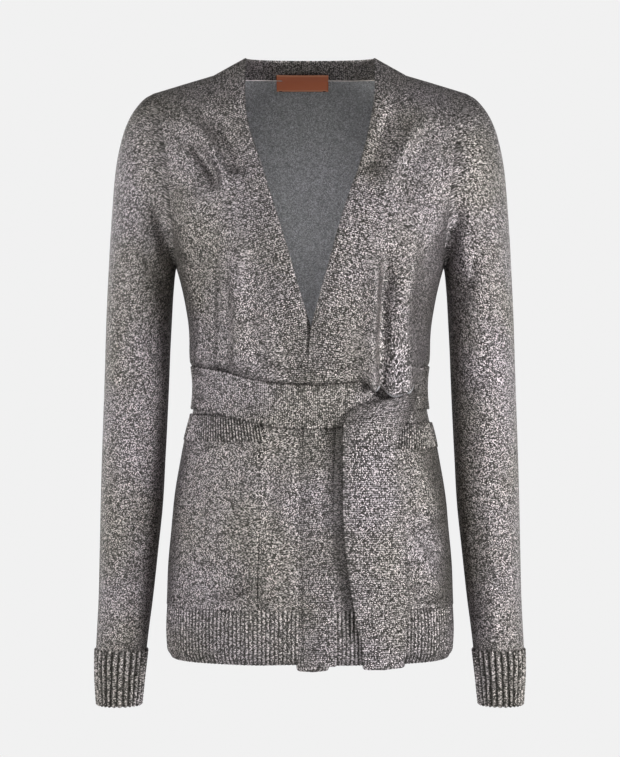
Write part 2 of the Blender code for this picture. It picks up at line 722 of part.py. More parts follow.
def pocket(name, grid, normal, row, belly):
    """The bag of a patch pocket, made from its front's points and moved out, and the ribbed trim of its mouth."""
    bag_rows = slice(1, row + 1)
    columns = slice(1, SIDE_SPANS + 1)
    bag, facing = grid[bag_rows, columns], normal[bag_rows, columns]
    v = np.sin(np.linspace(0, math.pi, bag.shape[0]))[:, None]
    u = np.sin(np.linspace(0, math.pi, bag.shape[1]))[None, :]
    bag = bag + facing * (SEAM + belly * v * u)[..., None]
    bag = trimmed(bag, ["top"])
    closed_wall(f"pocket_{name}", bag + facing * POCKET_CLOTH, bag)
    trim_rows = slice(row, row + 2)
    trim, facing = grid[trim_rows, columns], normal[trim_rows, columns]
    trim = trimmed(trim + facing * SEAM, ["bottom"])
    outer, steps = ribbed_columns(trim + facing * POCKET_CLOTH, facing, TRIM_RIB, lean=TRIM_LEAN)
    closed_wall(f"pocket_trim_{name}", outer, trim, steps)


def label(back):
    """A plain strip sewn inside the back just below the neckband's seam."""
    grid, _ = back
    middle = grid.shape[1] // 2
    centre_z = grid[:, middle, 2]
    rows = []
    for z in np.linspace(*LABEL_Z, 3):
        row = int(np.clip(np.searchsorted(centre_z, z) - 1, 0, len(centre_z) - 2))
        t = (z - centre_z[row]) / (centre_z[row + 1] - centre_z[row])
        line = grid[row] * (1 - t) + grid[row + 1] * t
        xs = np.linspace(*LABEL_X, 5)
        ys = np.interp(xs, line[:, 0], line[:, 1])
        rows.append(np.stack([xs, ys - CLOTH - EASE - SEAM, np.full(5, z)], axis=-1))
    outer = np.array(rows)
    return closed_wall("neck_label", outer, outer - [0, LABEL_CLOTH, 0])


def finish(name):
    """A plain Principled material from the table of finishes."""
    colour, roughness, metallic = FINISHES[name]
    material = bpy.data.materials.new(name)
    material.use_nodes = True
    shader = material.node_tree.nodes["Principled BSDF"]
    shader.inputs["Base Color"].default_value = (*colour, 1)
    shader.inputs["Roughness"].default_value = roughness
    shader.inputs["Metallic"].default_value = metallic
    return material


def main():
    pocket_rows = {
        int(hand): levels(bag, trim)
        for hand, bag, trim in zip(POCKETS["hand"], POCKETS["bag_top"], POCKETS["trim_top"])
    }
    below = len(pocket_rows[1])
    right = front_grid(-1, pocket_rows[-1])
    left = front_grid(1, pocket_rows[1])
    back = back_grid(pocket_rows[-1])
    right_normal = grid_normals(right, 1)
    left_normal = grid_normals(left, -1)
    back_normal = grid_normals(back, -1)

    # At the side seams and along the shoulders the front and the back share their normals
    for grid, normal in ((right, right_normal), (left, left_normal), (back, back_normal)):
        for column in (0, -1) if grid is back else (0,):
            upwards = np.gradient(grid[: below + 1, column], axis=0)
            facing = np.cross([0, 1, 0], upwards)
            outwards = np.sign(grid[: below + 1, column, 0] * facing[:, 0])
            normal[: below + 1, column] = unit(facing * outwards[:, None])
        across = np.gradient(grid[-1], axis=0)
        facing = unit(np.cross(across, [0, 1, 0]))
        normal[-1] = facing * np.sign(facing[:, 2:3])

    # The band's seam gives its normals to the panels that it is sewn to
    seam = SIDE_SPANS + FRONT_SPANS
    band = band_grid(right, left, back)
    band_normal = grid_normals(band, 1)[:, 1:]
    band = band[:, 1:]
    rows = right.shape[0]
    corner = BACK_SHOULDER_SPANS
    right_normal[:, seam] = band_normal[:rows, 0]
    left_normal[:, seam] = band_normal[::-1][:rows, 0]
    back_normal[-1, corner + 1 : -corner - 1] = band_normal[rows:-rows, 0]
    back_normal[-1, corner] = band_normal[rows - 1, 0]
    back_normal[-1, -corner - 1] = band_normal[-rows, 0]

    # Each sleeve starts on the ring that the front and the back leave at its armhole
    sleeves = {}
    for hand, front, front_normal, column in ((-1, right, right_normal, 0), (1, left, left_normal, -1)):
        ring = np.concatenate([front[below:, 0], back[below + 1 : -1, column][::-1]])
        way, ring_normal = ring_frame(ring, hand)
        front_normal[below:, 0] = ring_normal[: ARMHOLE_SPANS + 1]
        back_normal[below + 1 : -1, column] = ring_normal[ARMHOLE_SPANS + 1 :][::-1]
        back_normal[below, column] = ring_normal[0]
        back_normal[-1, column] = ring_normal[ARMHOLE_SPANS]
        grid = sleeve_grid(ring, hand)
        normal = outward_normals(grid)
        for front_side in (1, 0):
            facing = np.where((normal[..., 1:2] < 0) == bool(front_side), normal, 0)
            moved = folded(grid, facing, front_side)
            moved[0] = grid[0]
            grid = moved
        normal = outward_normals(grid)
        normal[0] = ring_normal
        grid[0] += way * SEAM / 2
        sleeves[hand] = (grid, normal, way)

    right = part_armhole(right, sleeves[-1][2], below, -1)
    left = part_armhole(left, sleeves[1][2], below, -1)
    back = part_armhole(back, sleeves[-1][2], below, 1)
    back = part_armhole(back[:, ::-1], sleeves[1][2], below, 1)[:, ::-1]

    for name, hand, grid, normal in (("right", -1, right, right_normal), ("left", 1, left, left_normal)):
        panel = slice(0, seam + 1)
        sewn(f"front_{name}", grid[1:, panel], normal[1:, panel], ["bottom", "top", "last"])
        sewn(f"hem_front_{name}", grid[:2, panel], normal[:2, panel], ["top", "last"], rib=HEM_RIB)
        arm, arm_normal, _ = sleeves[hand]
        sewn(f"sleeve_{name}", arm[: -CUFF_SECTIONS + 1], arm_normal[: -CUFF_SECTIONS + 1], ["top"], closed=True)
        cuff, cuff_normal = arm[-CUFF_SECTIONS:], arm_normal[-CUFF_SECTIONS:]
        sewn(f"cuff_{name}", cuff, cuff_normal, ["bottom"], rib=CUFF_RIB, closed=True)
    sewn("back", back[1:], back_normal[1:], ["bottom", "top"])
    sewn("hem_back", back[:2], back_normal[:2], ["top"], rib=HEM_RIB)
    sewn("front_band", band, band_normal, ["first"])

    bag_row = levels(0, 0).index(0)
    for name, grid, normal, belly in (
        ("right", right, right_normal, POCKETS["belly"][0]),
        ("left", left, left_normal, POCKETS["belly"][1]),
    ):
        pocket(name, grid, normal, bag_row, belly)

    belt_wrap((left, left_normal), (right, right_normal), (back, back_normal))
    belt_knot((left, left_normal))
    belt_tail("belt_tail_over", (left, left_normal), TAIL_OVER, TAIL_OVER_SLANT)
    belt_tail("belt_tail_under", (left, left_normal), TAIL_UNDER, 0)
    label((back, back_normal))

    knit, rib, woven = (finish(name) for name in FINISHES)
    for made in garment.objects:
        ribbing = made.name.startswith(("hem", "cuff", "pocket_trim", "front_band", "belt"))
        made.data.materials.append(woven if made.name == "neck_label" else rib if ribbing else knit)


for old in list(bpy.data.objects):
    bpy.data.objects.remove(old, do_unlink=True)
garment = bpy.data.collections.new("cardigan")
bpy.context.scene.collection.children.link(garment)
main()
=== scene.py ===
import math

import bpy
import numpy as np
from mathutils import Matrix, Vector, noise


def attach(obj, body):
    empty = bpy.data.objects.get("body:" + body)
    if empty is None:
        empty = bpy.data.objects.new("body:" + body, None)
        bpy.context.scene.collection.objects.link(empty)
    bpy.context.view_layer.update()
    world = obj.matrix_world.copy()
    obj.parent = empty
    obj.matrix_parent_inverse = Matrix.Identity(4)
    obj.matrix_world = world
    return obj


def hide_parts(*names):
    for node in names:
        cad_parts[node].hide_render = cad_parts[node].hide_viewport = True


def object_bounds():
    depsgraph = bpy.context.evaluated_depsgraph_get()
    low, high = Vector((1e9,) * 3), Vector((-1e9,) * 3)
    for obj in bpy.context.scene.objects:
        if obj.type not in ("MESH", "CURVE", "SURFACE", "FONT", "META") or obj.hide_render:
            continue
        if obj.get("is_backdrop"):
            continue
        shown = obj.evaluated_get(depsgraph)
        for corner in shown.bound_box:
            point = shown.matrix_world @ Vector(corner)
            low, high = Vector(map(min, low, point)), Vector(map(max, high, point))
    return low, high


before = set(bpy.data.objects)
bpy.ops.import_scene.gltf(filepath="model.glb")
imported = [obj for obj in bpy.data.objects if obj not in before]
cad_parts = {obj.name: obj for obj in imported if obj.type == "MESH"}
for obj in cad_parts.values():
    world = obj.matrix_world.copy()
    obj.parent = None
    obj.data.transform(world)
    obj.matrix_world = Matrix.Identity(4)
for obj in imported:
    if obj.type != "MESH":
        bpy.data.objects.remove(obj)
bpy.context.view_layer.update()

mm = 0.001

# Metres, +Z up, the front faces -Y. Left and right are the wearer's, so the left side lies at +X.
# The cloth follows the same sections as the solids, only in far smaller steps and with finer folds.

shape = {
    "hemBottom": -0.656,
    "hemSeam": -0.598,
    "armpit": -0.230,
    "shoulderPoint": -0.039,
    "neckCorner": -0.0187,
    "backNeck": -0.0142,
    "neckEdgeX": 0.071,
    "neckSeamX": 0.1045,
    "bandSpan": 0.0335,
    "pocketEdgeX": 0.055,
    "roundness": 2.4,
    "shoulderRound": 0.050,
    "neckBackDepth": 0.056,
    "neckBackRise": 0.0046,
    "underlap": 3.4 * mm,
    "clothThickness": 1.7 * mm,
    "rowStep": 3.2 * mm,
    "armholeSpans": 72,
    "sideSpans": 64,
    "frontSpans": 26,
    "bandSpans": 10,
    "backShoulderSpans": 26,
    "backNeckSpans": 34,
}


def table(columns, rows):
    values = np.array(rows, float)
    return {name: values[:, i] for i, name in enumerate(columns.split())}


# Sections of the body from the hem up
torso = table("z halfWidth front back", [
    (-0.656, 0.1550, 0.098, 0.102),
    (-0.630, 0.1568, 0.101, 0.105),
    (-0.590, 0.1553, 0.102, 0.107),
    (-0.552, 0.1538, 0.102, 0.108),
    (-0.519, 0.1507, 0.101, 0.107),
    (-0.476, 0.1464, 0.099, 0.104),
    (-0.445, 0.1412, 0.096, 0.100),
    (-0.414, 0.1352, 0.092, 0.095),
    (-0.390, 0.1290, 0.088, 0.090),
    (-0.372, 0.1266, 0.086, 0.087),
    (-0.352, 0.1266, 0.087, 0.086),
    (-0.331, 0.1292, 0.093, 0.089),
    (-0.310, 0.1308, 0.099, 0.092),
    (-0.285, 0.1345, 0.104, 0.096),
    (-0.255, 0.1402, 0.107, 0.099),
    (-0.230, 0.1470, 0.107, 0.101),
    (-0.200, 0.1585, 0.105, 0.102),
    (-0.150, 0.1820, 0.094, 0.100),
    (-0.100, 0.2050, 0.077, 0.094),
    (-0.050, 0.2150, 0.056, 0.083),
    (-0.020, 0.2200, 0.042, 0.071),
    (0.020, 0.2250, 0.030, 0.058),
])

shoulderLine = table("x z", [
    (0.0, 0.0450),
    (0.071, 0.0),
    (0.1045, -0.0187),
    (0.172, -0.039),
    (0.225, -0.0550),
])

armhole = table("z x", [
    (-0.230, 0.1470),
    (-0.200, 0.1488),
    (-0.150, 0.1510),
    (-0.100, 0.1560),
    (-0.060, 0.1650),
    (-0.039, 0.1720),
])

# Free edges of the front band, for the front that lies under and the one that lies over
neckline = table("z under over", [
    (-0.656, 0.0200, -0.0063),
    (-0.417, 0.0200, -0.0063),
    (-0.365, 0.0159, -0.0030),
    (-0.327, 0.0085, -0.0008),
    (-0.298, 0.0002, 0.0016),
    (-0.268, -0.0088, 0.0095),
    (-0.224, -0.0215, 0.0218),
    (-0.156, -0.0423, 0.0420),
    (-0.124, -0.0521, 0.0535),
    (-0.072, -0.0680, 0.0662),
    (-0.027, -0.0710, 0.0715),
    (0.000, -0.071, 0.071),
])

bandRise = table("z rise", [
    (-0.656, 0.0),
    (-0.360, 0.0),
    (-0.310, 0.0060),
    (-0.270, 0.0095),
    (-0.130, 0.0100),
    (-0.070, 0.0120),
    (-0.0187, 0.0187),
])

# Sections of a sleeve past the armhole
sleeveCut = table("outerX outerZ innerX innerZ halfDepth forward", [
    (0.1835, -0.0465, 0.1478, -0.2338, 0.0600, 0.000),
    (0.1945, -0.0600, 0.1484, -0.2382, 0.0575, 0.000),
    (0.2030, -0.0775, 0.1490, -0.2440, 0.0545, 0.000),
    (0.2090, -0.0985, 0.1496, -0.2512, 0.0515, 0.000),
    (0.2135, -0.1240, 0.1503, -0.2600, 0.0490, 0.000),
    (0.2165, -0.1570, 0.1510, -0.2710, 0.0470, 0.000),
    (0.2190, -0.1930, 0.1517, -0.2850, 0.0450, 0.000),
    (0.2212, -0.2350, 0.1525, -0.3020, 0.0435, 0.001),
    (0.2233, -0.2800, 0.1535, -0.3230, 0.0420, 0.002),
    (0.2246, -0.3250, 0.1545, -0.3520, 0.0410, 0.003),
    (0.2262, -0.3780, 0.1562, -0.3930, 0.0400, 0.004),
    (0.2280, -0.4340, 0.1585, -0.4400, 0.0385, 0.006),
    (0.2293, -0.4880, 0.1612, -0.4900, 0.0370, 0.008),
    (0.2302, -0.5400, 0.1663, -0.5400, 0.0355, 0.010),
    (0.2314, -0.5950, 0.1722, -0.5950, 0.0335, 0.012),
    (0.2330, -0.6280, 0.1765, -0.6280, 0.0315, 0.013),
    (0.2340, -0.6480, 0.1788, -0.6480, 0.0300, 0.013),
    (0.2340, -0.6770, 0.1822, -0.6770, 0.0275, 0.013),
    (0.2322, -0.7070, 0.1853, -0.7070, 0.0250, 0.013),
])

# Folds as ridges, or troughs where the height is below zero: side, both ends, width, height and sideways bow
folds = table("front x1 z1 x2 z2 width height bow", [
    (1, -0.0920, -0.225, -0.0930, -0.372, 0.0090, -0.0060, 0.003),
    (1, -0.0743, -0.180, -0.0720, -0.352, 0.0095, 0.0070, -0.004),
    (1, 0.0690, -0.195, 0.0640, -0.368, 0.0075, 0.0080, 0.001),
    (1, 0.0850, -0.185, 0.0705, -0.380, 0.0078, -0.0088, 0.001),
    (1, 0.1150, -0.155, 0.0930, -0.366, 0.0120, 0.0082, -0.003),
    (1, -0.1420, -0.058, -0.0811, -0.152, 0.0082, 0.0092, 0.005),
    (1, -0.1190, -0.048, -0.0780, -0.140, 0.0090, -0.0080, 0.005),
    (1, -0.1350, -0.095, -0.0960, -0.150, 0.0072, -0.0074, 0.004),
    (1, -0.1150, -0.130, -0.1330, -0.232, 0.0130, 0.0050, -0.005),
    (1, 0.1290, -0.062, 0.0790, -0.156, 0.0085, 0.0088, -0.005),
    (1, 0.0950, -0.040, 0.0650, -0.132, 0.0090, -0.0072, 0.003),
    (1, -0.1850, -0.140, -0.1480, -0.236, 0.0100, -0.0075, 0.005),
    (1, -0.1960, -0.185, -0.1520, -0.275, 0.0090, -0.0042, 0.004),
    (1, 0.1750, -0.150, 0.1450, -0.232, 0.0090, -0.0072, -0.005),
    (1, 0.1950, -0.200, 0.1580, -0.280, 0.0090, -0.0040, -0.003),
    (1, -0.0120, -0.440, -0.0507, -0.602, 0.0105, 0.0075, -0.006),
    (1, -0.0400, -0.410, -0.0420, -0.560, 0.0100, -0.0064, 0.004),
    (1, -0.0450, -0.566, -0.1060, -0.594, 0.0090, -0.0062, 0.005),
    (1, 0.1010, -0.424, 0.1370, -0.510, 0.0140, 0.0062, 0.004),
    (1, 0.1000, -0.508, 0.1370, -0.542, 0.0085, -0.0050, 0.003),
    (1, 0.1130, -0.548, 0.1400, -0.590, 0.0130, 0.0050, 0.003),
    (1, 0.1010, -0.570, 0.1330, -0.600, 0.0070, -0.0052, -0.003),
    (0, -0.0850, -0.225, -0.0780, -0.335, 0.0120, 0.0052, 0.004),
    (0, -0.0450, -0.250, -0.0500, -0.337, 0.0085, -0.0050, -0.003),
    (0, 0.0050, -0.215, 0.0000, -0.335, 0.0120, 0.0047, 0.004),
    (0, 0.0520, -0.245, 0.0560, -0.337, 0.0085, -0.0054, 0.003),
    (0, 0.0950, -0.220, 0.0860, -0.335, 0.0120, 0.0052, -0.004),
    (0, -0.0700, -0.385, -0.0860, -0.520, 0.0140, -0.0042, 0.004),
    (0, -0.0250, -0.385, -0.0220, -0.560, 0.0160, 0.0042, -0.004),
    (0, 0.0350, -0.385, 0.0420, -0.500, 0.0130, -0.0042, 0.003),
    (0, 0.0800, -0.385, 0.0980, -0.540, 0.0160, 0.0042, 0.004),
    (0, -0.1330, -0.090, -0.0900, -0.175, 0.0110, 0.0040, 0.006),
    (0, 0.1330, -0.085, 0.0920, -0.165, 0.0110, 0.0040, -0.006),
    (0, -0.1870, -0.165, -0.1570, -0.220, 0.0080, -0.0050, 0.003),
    (0, 0.1850, -0.165, 0.1560, -0.220, 0.0080, -0.0050, -0.003),
    (0, -0.2000, -0.395, -0.1800, -0.425, 0.0090, -0.0034, 0.003),
    (0, 0.2050, -0.385, 0.1800, -0.420, 0.0090, -0.0034, -0.003),
])

# Smaller creases, only in the cloth that shows
creases = table("front x1 z1 x2 z2 width height bow", [
    (1, -0.0990, -0.195, -0.1010, -0.372, 0.0026, -0.0034, 0.001),
    (1, -0.0940, -0.170, -0.0960, -0.290, 0.0024, 0.0016, 0.001),
    (1, -0.0905, -0.262, -0.0880, -0.338, 0.0050, 0.0016, 0.002),
    (1, -0.0600, -0.280, -0.0560, -0.342, 0.0045, -0.0014, -0.002),
    (1, -0.0420, -0.262, -0.0440, -0.345, 0.0060, 0.0014, 0.002),
    (1, -0.1220, -0.240, -0.1180, -0.335, 0.0050, 0.0018, 0.002),
    (1, -0.1160, -0.290, -0.1130, -0.338, 0.0035, -0.0016, 0.001),
    (1, 0.0480, -0.285, 0.0460, -0.352, 0.0045, -0.0013, 0.002),
    (1, 0.1240, -0.260, 0.1190, -0.338, 0.0045, -0.0016, -0.002),
    (1, -0.1500, -0.100, -0.1130, -0.136, 0.0060, 0.0014, 0.004),
    (1, -0.0960, -0.120, -0.0920, -0.205, 0.0090, 0.0018, 0.003),
    (1, 0.1030, -0.120, 0.0960, -0.200, 0.0080, -0.0018, 0.003),
    (1, 0.1320, -0.115, 0.1120, -0.190, 0.0080, 0.0018, -0.003),
    (1, -0.1290, -0.190, -0.0930, -0.246, 0.0080, 0.0016, 0.005),
    (1, 0.1300, -0.195, 0.0960, -0.240, 0.0070, -0.0015, -0.004),
    (1, -0.0920, -0.470, -0.0700, -0.560, 0.0120, 0.0018, 0.004),
    (1, -0.1180, -0.450, -0.1210, -0.520, 0.0100, -0.0018, 0.003),
    (1, -0.1300, -0.500, -0.1250, -0.575, 0.0100, 0.0018, -0.003),
    (1, 0.0130, -0.430, 0.0170, -0.520, 0.0070, -0.0013, 0.002),
    (1, 0.1290, -0.560, 0.0980, -0.596, 0.0080, -0.0020, -0.004),
    (0, -0.1100, -0.245, -0.1060, -0.337, 0.0060, -0.0028, 0.003),
    (0, -0.0650, -0.270, -0.0620, -0.338, 0.0050, 0.0016, -0.002),
    (0, 0.0240, -0.255, 0.0280, -0.338, 0.0060, -0.0026, 0.002),
    (0, 0.0740, -0.275, 0.0710, -0.338, 0.0050, 0.0017, 0.002),
    (0, 0.1120, -0.240, 0.1060, -0.337, 0.0060, -0.0028, -0.002),
    (0, -0.1100, -0.386, -0.1220, -0.470, 0.0090, 0.0026, -0.003),
    (0, -0.0480, -0.386, -0.0550, -0.440, 0.0070, 0.0020, 0.002),
    (0, 0.0080, -0.386, 0.0060, -0.450, 0.0080, -0.0024, 0.002),
    (0, 0.0600, -0.386, 0.0660, -0.455, 0.0080, 0.0020, 0.002),
    (0, 0.1120, -0.386, 0.1250, -0.465, 0.0090, -0.0026, 0.003),
    (0, -0.0900, -0.060, -0.0300, -0.085, 0.0110, 0.0018, 0.006),
    (0, 0.0900, -0.062, 0.0350, -0.090, 0.0110, 0.0018, -0.006),
    (0, -0.1180, -0.175, -0.0500, -0.205, 0.0120, -0.0020, 0.008),
    (0, 0.1160, -0.185, 0.0550, -0.200, 0.0120, -0.0020, -0.008),
    (0, -0.0200, -0.140, 0.0250, -0.150, 0.0150, -0.0014, 0.004),
    (0, 0.1100, -0.540, 0.0500, -0.585, 0.0120, -0.0020, 0.005),
    (0, -0.0950, -0.560, -0.0400, -0.590, 0.0120, 0.0020, -0.005),
    (1, -0.2150, -0.345, -0.1750, -0.372, 0.0060, -0.0022, 0.004),
    (1, -0.1650, -0.330, -0.2000, -0.352, 0.0060, 0.0018, -0.003),
    (1, -0.2120, -0.405, -0.1700, -0.428, 0.0070, -0.0018, 0.004),
    (1, 0.2140, -0.335, 0.1720, -0.360, 0.0060, -0.0022, -0.004),
    (1, 0.1640, -0.345, 0.2000, -0.375, 0.0060, 0.0018, 0.003),
    (1, 0.2100, -0.420, 0.1700, -0.440, 0.0070, -0.0016, -0.004),
    (1, -0.2050, -0.618, -0.1820, -0.622, 0.0035, -0.0024, 0.001),
    (1, -0.2200, -0.632, -0.1950, -0.638, 0.0040, 0.0018, 0.001),
    (1, 0.2250, -0.630, 0.1950, -0.636, 0.0040, -0.0018, 0.001),
    (1, 0.2050, -0.612, 0.1850, -0.618, 0.0040, 0.0014, 0.001),
    (1, -0.2080, -0.100, -0.1850, -0.150, 0.0090, 0.0020, -0.004),
    (1, 0.2060, -0.105, 0.1830, -0.150, 0.0090, 0.0020, 0.004),
    (1, -0.1960, -0.470, -0.2010, -0.560, 0.0080, 0.0016, 0.003),
    (1, 0.1950, -0.480, 0.2010, -0.570, 0.0080, 0.0016, -0.003),
    (0, -0.2100, -0.340, -0.1700, -0.362, 0.0070, -0.0028, 0.004),
    (0, -0.2120, -0.370, -0.1720, -0.388, 0.0070, 0.0022, -0.004),
    (0, 0.2120, -0.345, 0.1700, -0.366, 0.0070, -0.0028, -0.004),
    (0, 0.2100, -0.372, 0.1720, -0.395, 0.0070, 0.0022, 0.004),
    (0, -0.2180, -0.628, -0.1880, -0.634, 0.0045, -0.0020, 0.001),
    (0, 0.2180, -0.626, 0.1880, -0.634, 0.0045, -0.0020, 0.001),
])


def smooth(x, xs, ys):
    slopes = np.gradient(ys, xs)
    i = np.clip(np.searchsorted(xs, x) - 1, 0, len(xs) - 2)
    step = xs[i + 1] - xs[i]
    t = np.clip((x - xs[i]) / step, 0, 1)
    ends = ys[i] * (1 + 2 * t) * (1 - t) ** 2 + ys[i + 1] * t**2 * (3 - 2 * t)
    return ends + step * (slopes[i] * t * (1 - t) ** 2 - slopes[i + 1] * t**2 * (1 - t))


def easeIn(x, start, end):
    t = np.clip((x - start) / (end - start), 0, 1)
    return t * t * (3 - 2 * t)


def unit(vectors):
    return vectors / np.maximum(np.linalg.norm(vectors, axis=-1, keepdims=True), 1e-12)


def halfWidth(z):
    return smooth(z, torso["z"], torso["halfWidth"])


def opened(x, z):  # 0 on the shoulder line, 1 once the cloth has rounded over it
    drop = np.interp(np.abs(x), shoulderLine["x"], shoulderLine["z"]) - z
    u = np.clip(drop / shape["shoulderRound"], 0, 1)
    return np.sqrt(1 - (1 - u) ** 2)


def depth(side, x, z):
    reach = np.clip(np.abs(x) / halfWidth(z), 0, 1)
    across = (1 - reach ** shape["roundness"]) ** (1 / shape["roundness"])
    return smooth(z, torso["z"], torso[side]) * across * opened(x, z)


def roundedXs(outer, inner, width, spans):
    half = shape["roundness"] / 2
    turns = [np.arcsin(np.clip(abs(x) / width, 0, 1) ** half) for x in (outer, inner)]
    return width * np.sin(np.linspace(turns[0], turns[1], spans + 1)) ** (1 / half)


def armholeShare():
    return (1 - np.cos(np.linspace(0, math.pi, shape["armholeSpans"] + 1))) / 2


def rowsBetween(marks):
    rows = [marks[0]]
    for low, high in zip(marks[:-1], marks[1:]):
        count = max(1, round((high - low) / shape["rowStep"]))
        rows += list(np.linspace(low, high, count + 1)[1:])
    return np.array(rows)


def gridNormals(grid, flip=1, closed=False):
    if closed:
        wide = np.concatenate([grid[:, -1:], grid, grid[:, :1]], axis=1)
        across = np.gradient(wide, axis=1)[:, 1:-1]
    else:
        across = np.gradient(grid, axis=1)
    return flip * unit(np.cross(across, np.gradient(grid, axis=0)))


def foldLift(places, side, rows):
    lift = np.zeros(places.shape[:2])
    for i in np.flatnonzero(rows["front"] == side):
        start = np.array([rows["x1"][i], rows["z1"][i]])
        run = np.array([rows["x2"][i], rows["z2"][i]]) - start
        aside = np.array([-run[1], run[0]]) / np.linalg.norm(run)
        t = np.clip((places - start) @ run / (run @ run), 0, 1)
        line = start + t[..., None] * run + (4 * rows["bow"][i] * t * (1 - t))[..., None] * aside
        away = np.linalg.norm(places - line, axis=-1)
        swell = easeIn(t, 0, 0.40) * (1 - easeIn(t, 0.86, 1))
        lift += rows["height"][i] * swell * np.exp(-((away / rows["width"][i]) ** 2))
    return lift


# Slow waves that keep the cloth from looking machined
waver = {"size": 0.045, "height": 1.1 * mm, "fineSize": 0.016, "fineHeight": 0.28 * mm}


def waverLift(grid, seed):
    lift = np.zeros(grid.shape[:2])
    for r in range(grid.shape[0]):
        for c in range(grid.shape[1]):
            x, y, z = grid[r, c]
            slow = noise.noise((x / waver["size"], y / waver["size"], z / waver["size"] * 0.55 + seed))
            fine = noise.noise((x / waver["fineSize"], y / waver["fineSize"] + seed,
                                z / waver["fineSize"] * 0.6))
            lift[r, c] = waver["height"] * slow + waver["fineHeight"] * fine
    return lift


def folded(grid, normal, side, seed=None):
    places = grid[..., [0, 2]]
    lift = foldLift(places, side, folds) + foldLift(places, side, creases)
    if seed is not None:
        lift = lift + waverLift(grid, seed)
    return grid + normal * (lift * np.abs(normal[..., 1]))[..., None]


# How the bodice rolls over the top of the belt
blouse = {"out": 3.9 * mm, "drop": 1.0 * mm, "outMore": 6.4 * mm, "dropMore": 41.0 * mm,
          "fullX": (0.050, 0.088),
          "lessX": (0.102, 0.124), "top": 0.055, "beltHeight": -0.362, "beltDip": 0.021, "beltHalf": 0.0225,
          "dipPower": 5}


def beltLevel(y, side):
    if side == "back":
        return np.full(np.shape(y), blouse["beltHeight"])
    front = np.clip(-y / np.interp(blouse["beltHeight"], torso["z"], torso["front"]), 0, 1)
    return blouse["beltHeight"] - blouse["beltDip"] * front ** blouse["dipPower"]


def bloused(grid, normal, side):
    above = grid[..., 2] - beltLevel(grid[..., 1], side) - blouse["beltHalf"]
    full = easeIn(grid[..., 0], *blouse["fullX"]) * (1 - easeIn(grid[..., 0], *blouse["lessX"]))
    full = full * (side == "front")
    wander = np.array([[0.8 + 0.5 * noise.noise((p[0] * 26, p[1] * 26, 3.7)) for p in row] for row in grid])
    out = (blouse["out"] + blouse["outMore"] * full) * wander
    drop = (blouse["drop"] + blouse["dropMore"] * full) * wander
    out = out * easeIn(above, -0.002, 0.006 + 0.003 * full) * (1 - easeIn(above, 0.010, blouse["top"]))
    drop = drop * easeIn(above, -0.001, 0.011) * (1 - easeIn(above, 0.011, blouse["top"]))
    return grid + normal * out[..., None] - np.array([0, 0, 1]) * drop[..., None]


def frontGrid(hand, rowsBelow):
    edgeName = "over" if hand > 0 else "under"
    share = armholeShare()
    armpit = shape["armpit"]
    sideZ = np.concatenate([rowsBelow, armpit + (shape["shoulderPoint"] - armpit) * share])
    seamZ = np.concatenate([rowsBelow, armpit + (shape["neckCorner"] - armpit) * share])
    rows = []
    for i, (zSide, zSeam) in enumerate(zip(sideZ, seamZ)):
        rise = smooth(zSeam, bandRise["z"], bandRise["rise"])
        edge = hand * smooth(zSeam + rise, neckline["z"], neckline[edgeName])
        seam = edge + shape["bandSpan"]
        above = i >= len(rowsBelow)
        side = np.interp(zSide, armhole["z"], armhole["x"]) if above else halfWidth(zSide)
        middle = seam + (side - seam) * 0.33
        middle = shape["pocketEdgeX"] + (middle - shape["pocketEdgeX"]) * easeIn(zSeam, -0.39, -0.27)
        xs = np.concatenate([
            roundedXs(side, middle, max(halfWidth(zSide), side), shape["sideSpans"]),
            np.linspace(middle, seam, shape["frontSpans"] + 1)[1:],
            np.linspace(seam, edge, shape["bandSpans"] + 1)[1:],
        ])
        inward = np.clip((side - xs) / (side - seam), 0, 1)
        beyond = np.clip((seam - xs) / (seam - edge), 0, 1)
        zs = zSide + (zSeam - zSide) * inward + rise * beyond
        rows.append(np.stack([hand * xs, -depth("front", xs, zs), zs], axis=-1))
    grid = np.array(rows)
    normal = gridNormals(grid, -hand)
    grid = bloused(folded(grid, normal, 1, seed=4.0 + hand), normal, "front")
    if hand < 0:
        tuck = easeIn(grid[..., 0], -0.055, -0.018) * easeIn(grid[..., 2], -0.240, -0.285)
        grid = grid - normal * (shape["underlap"] * tuck)[..., None]
    return grid


